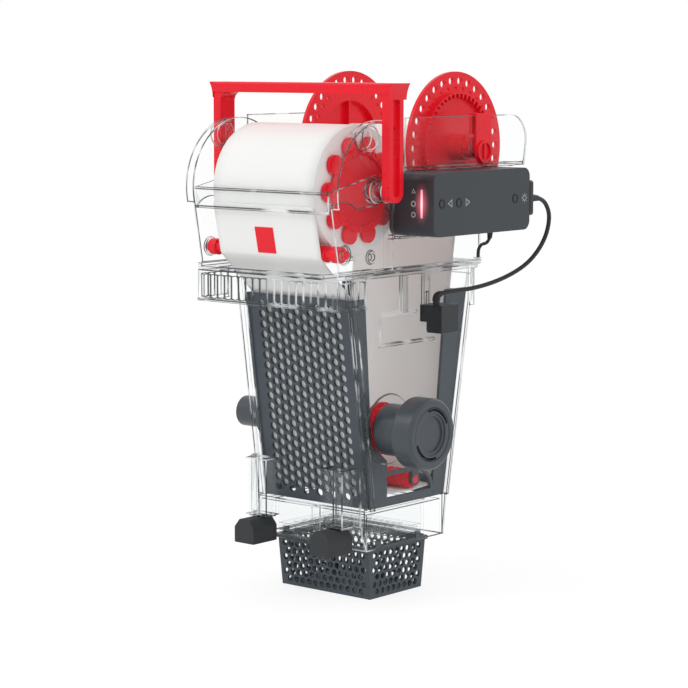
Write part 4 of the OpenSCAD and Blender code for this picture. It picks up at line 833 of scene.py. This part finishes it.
class FILTER_OT_controller(bpy.types.Operator):
    """Motor box with its cover, lit bar, buttons, marks and plug"""

    bl_idname = "filter.controller"
    bl_label = "Motor box"

    def execute(self, context):
        softened("controller_shell", "box_plastic", 0.0014, 4)
        softened("controller_cover", "box_plastic", 0.0006)
        softened("cable_plug", "black_plastic", 0.0007, 3)
        softened("led_lens", "lit_bar", 0.0002)
        softened("gearmotor", "metal", 0.0005)
        softened("circuit_board", "board", 0.0002)
        softened("drive_pinion", "black_plastic", 0.00012)
        for name, y in zip(("rewind", "advance", "set"), BUTTON_Y):
            self.button(name, y)
        self.marks()
        return {"FINISHED"}

    def button(self, name, y):
        """Push button: dished cap with a darker ring round it."""
        bm = bmesh.new()
        x = CONTROLLER_X1
        r = BUTTON_R
        profile = [(x - 0.0050, 0.0), (x - 0.0050, r), (x + 0.0001, r), (x + 0.0004, r - 0.0002),
                   (x + 0.0005, r - 0.0005), (x + 0.0002, r - 0.0009), (x, r - 0.0011), (x, 0.0)]
        lathe(bm, profile, (y, BUTTON_Z), BUTTON_SIDES)
        for face in bm.faces:
            middle = face.calc_center_median()
            out = Vector((0, middle.y - y, middle.z - BUTTON_Z)).length
            face.material_index = 1 if out < r - 0.0012 and face.normal.x > 0.5 else 0
        new_piece("button_" + name + "_cap", bm, ["key_black", "box_plastic"],
                  name + "_key", "rubber", "button_" + name)

    def marks(self):
        """Plain marks beside the buttons and the lit bar."""
        bm = bmesh.new()
        self.ring_on_side(bm, -0.0112, 3, 0.0036, 0.0022, math.pi / 2)
        self.ring_on_side(bm, 0.0087, 3, 0.0036, 0.0022, -math.pi / 2)
        self.ring_on_side(bm, SUN_Y, 20, 0.0024, 0.0016, 0.0)
        for i in range(8):
            a = i * math.pi / 4
            self.dot_on_side(bm, SUN_Y + SUN_R * math.cos(a), BUTTON_Z + SUN_R * math.sin(a))
        bmesh.ops.recalc_face_normals(bm, faces=bm.faces)
        new_piece("button_marks", bm, ["mark"], "housing", "grey")
        bm = bmesh.new()
        for z, sides, turn in ((0.3125, 3, 0.0), (0.3035, 24, 0.0), (0.2955, 6, 0.0)):
            self.ring_on_front(bm, LAMP_MARK_X, z, sides, 0.0023, 0.0014, turn)
        bmesh.ops.recalc_face_normals(bm, faces=bm.faces)
        new_piece("lamp_marks", bm, ["mark"], "housing", "grey")

    def flat_ring(self, bm, sides, outer, inner, turn):
        """Ring of a few sides in the (u, v) plane, a tenth of a millimetre thick."""
        loops = []
        for radius in (outer, inner):
            made = bmesh.ops.create_circle(bm, segments=sides, radius=radius)
            loops += list({e for v in made["verts"] for e in v.link_edges})
        flat = bmesh.ops.bridge_loops(bm, edges=loops)["faces"]
        up = bmesh.ops.extrude_face_region(bm, geom=flat)
        lifted = [g for g in up["geom"] if isinstance(g, bmesh.types.BMVert)]
        bmesh.ops.translate(bm, verts=lifted, vec=(0, 0, MARK_THICK))
        verts = list({v for f in flat for v in f.verts} | set(lifted))
        bmesh.ops.rotate(bm, verts=verts, cent=(0, 0, 0), matrix=Matrix.Rotation(turn, 3, "Z"))
        return verts

    def ring_on_side(self, bm, y, sides, outer, inner, turn):
        """A ring on the motor box's wide side, at button height."""
        for vert in self.flat_ring(bm, sides, outer, inner, turn):
            u, v, w = vert.co
            vert.co = (CONTROLLER_X1 + MARK_GAP + w, y + u, BUTTON_Z + v)

    def ring_on_front(self, bm, x, z, sides, outer, inner, turn):
        """A ring on the motor box's narrow front."""
        for vert in self.flat_ring(bm, sides, outer, inner, turn):
            u, v, w = vert.co
            vert.co = (x + u, CONTROLLER_Y0 - MARK_GAP - w, z + v)

    def dot_on_side(self, bm, y, z):
        """A dot on the motor box's wide side."""
        made = bmesh.ops.create_uvsphere(bm, u_segments=6, v_segments=4, radius=0.0004)
        bmesh.ops.translate(bm, verts=made["verts"], vec=(CONTROLLER_X1, y, z))


# Right plug: sides, edge rounding, and its grip slots' middles, half arc (degrees) and depth
PLUG_SIDES = 72
PLUG_EDGE = 0.0003
GRIP_MIDDLES = (63.0, 243.0)
GRIP_HALF_ARC = 42.0
GRIP_DEPTH = 0.0040


class FILTER_OT_unions(bpy.types.Operator):
    """Inlet bodies, plugs and the union nut"""

    bl_idname = "filter.unions"
    bl_label = "Unions"

    def execute(self, context):
        for node, width in (("inlet_body_right", 0.0006), ("inlet_body_left", 0.0006),
                            ("inlet_plug_left", 0.0008), ("inlet_nut_right", 0.0012)):
            softened(node, "union_plastic", width, 3)
        self.plug()
        return {"FINISHED"}

    def plug(self):
        """Right plug: stepped face with two curved grip slots in its rim."""
        low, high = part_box("inlet_plug_right")
        axis = ((low.y + high.y) / 2, (low.z + high.z) / 2)
        edge = (high.y - low.y) / 2
        face, back = high.x, low.x
        profile = [(face - 0.0026, 0.0), (face - 0.0026, edge - 0.0064),
                   (face - 0.0012, edge - 0.0064), (face - 0.0012, edge - 0.0040),
                   (face, edge - 0.0040), (face, edge - 0.0024), (face, edge - 0.0006),
                   (face, edge), (face - 0.0109, edge), (face - 0.0109, 0.0110),
                   (back, 0.0110), (back, 0.0)]
        bm = bmesh.new()
        lathe(bm, profile, axis, PLUG_SIDES)
        for middle in GRIP_MIDDLES:
            ring = []
            for f in bm.faces:
                place = f.calc_center_median()
                y, z = place.y - axis[0], place.z - axis[1]
                off = (math.degrees(math.atan2(z, y)) - middle + 180.0) % 360.0 - 180.0
                on_rim = f.normal.x > 0.9 and edge - 0.0024 < math.hypot(y, z) < edge - 0.0006
                if on_rim and abs(off) < GRIP_HALF_ARC:
                    ring.append(f)
            sunk = bmesh.ops.extrude_face_region(bm, geom=ring)
            verts = [g for g in sunk["geom"] if isinstance(g, bmesh.types.BMVert)]
            bmesh.ops.translate(bm, verts=verts, vec=(-GRIP_DEPTH, 0, 0))
            bmesh.ops.delete(bm, geom=ring, context="FACES")
        bmesh.ops.recalc_face_normals(bm, faces=bm.faces)
        mark_edges(bm, PLUG_EDGE)
        piece = new_piece("inlet_plug_right_moulded", bm, ["union_plastic"],
                          body_of_node("inlet_plug_right"), slot_of_node("inlet_plug_right"),
                          "inlet_plug_right")
        round_edges(piece, PLUG_EDGE)


class FILTER_OT_sensor(bpy.types.Operator):
    """Level sensor block"""

    bl_idname = "filter.sensor"
    bl_label = "Level sensor"

    def execute(self, context):
        softened("sensor_block", "black_plastic", 0.0007, 3)
        return {"FINISHED"}


class FILTER_OT_feet(bpy.types.Operator):
    """Rubber feet"""

    bl_idname = "filter.feet"
    bl_label = "Feet"

    def execute(self, context):
        for node in ("foot_right", "foot_left"):
            softened(node, "rubber", 0.0008, 2)
        return {"FINISHED"}


OPERATORS = (
    FILTER_OT_stage, FILTER_OT_cords, FILTER_OT_clear_parts, FILTER_OT_screens,
    FILTER_OT_red_parts, FILTER_OT_fleece_roll, FILTER_OT_fleece_web,
    FILTER_OT_controller, FILTER_OT_unions, FILTER_OT_sensor, FILTER_OT_feet,
)


class FILTER_PT_panel(bpy.types.Panel):
    """Lists the filter's pieces and settings"""

    bl_idname = "FILTER_PT_panel"
    bl_label = "Fleece Roller Filter"
    bl_space_type = "VIEW_3D"
    bl_region_type = "UI"
    bl_category = "Filter"

    def draw(self, context):
        for settings in (context.scene.filter_finishes, context.scene.filter_sizes):
            for name in settings.__annotations__:
                self.layout.prop(settings, name)
        for operator in OPERATORS:
            self.layout.operator(operator.bl_idname)


CLASSES = (FilterFinishes, FilterSizes, *OPERATORS, FILTER_PT_panel)


def register():
    for made in CLASSES:
        bpy.utils.register_class(made)
    bpy.types.Scene.filter_finishes = PointerProperty(type=FilterFinishes)
    bpy.types.Scene.filter_sizes = PointerProperty(type=FilterSizes)


def unregister():
    del bpy.types.Scene.filter_sizes
    del bpy.types.Scene.filter_finishes
    for made in reversed(CLASSES):
        bpy.utils.unregister_class(made)


def main():
    """Builds everything."""
    register()
    bpy.ops.filter.stage()
    bpy.ops.filter.cords()
    bpy.ops.filter.clear_parts()
    bpy.ops.filter.screens()
    bpy.ops.filter.red_parts()
    bpy.ops.filter.fleece_roll()
    bpy.ops.filter.fleece_web()
    bpy.ops.filter.controller()
    bpy.ops.filter.unions()
    bpy.ops.filter.sensor()
    bpy.ops.filter.feet()


if __name__ == "__main__":
    main()
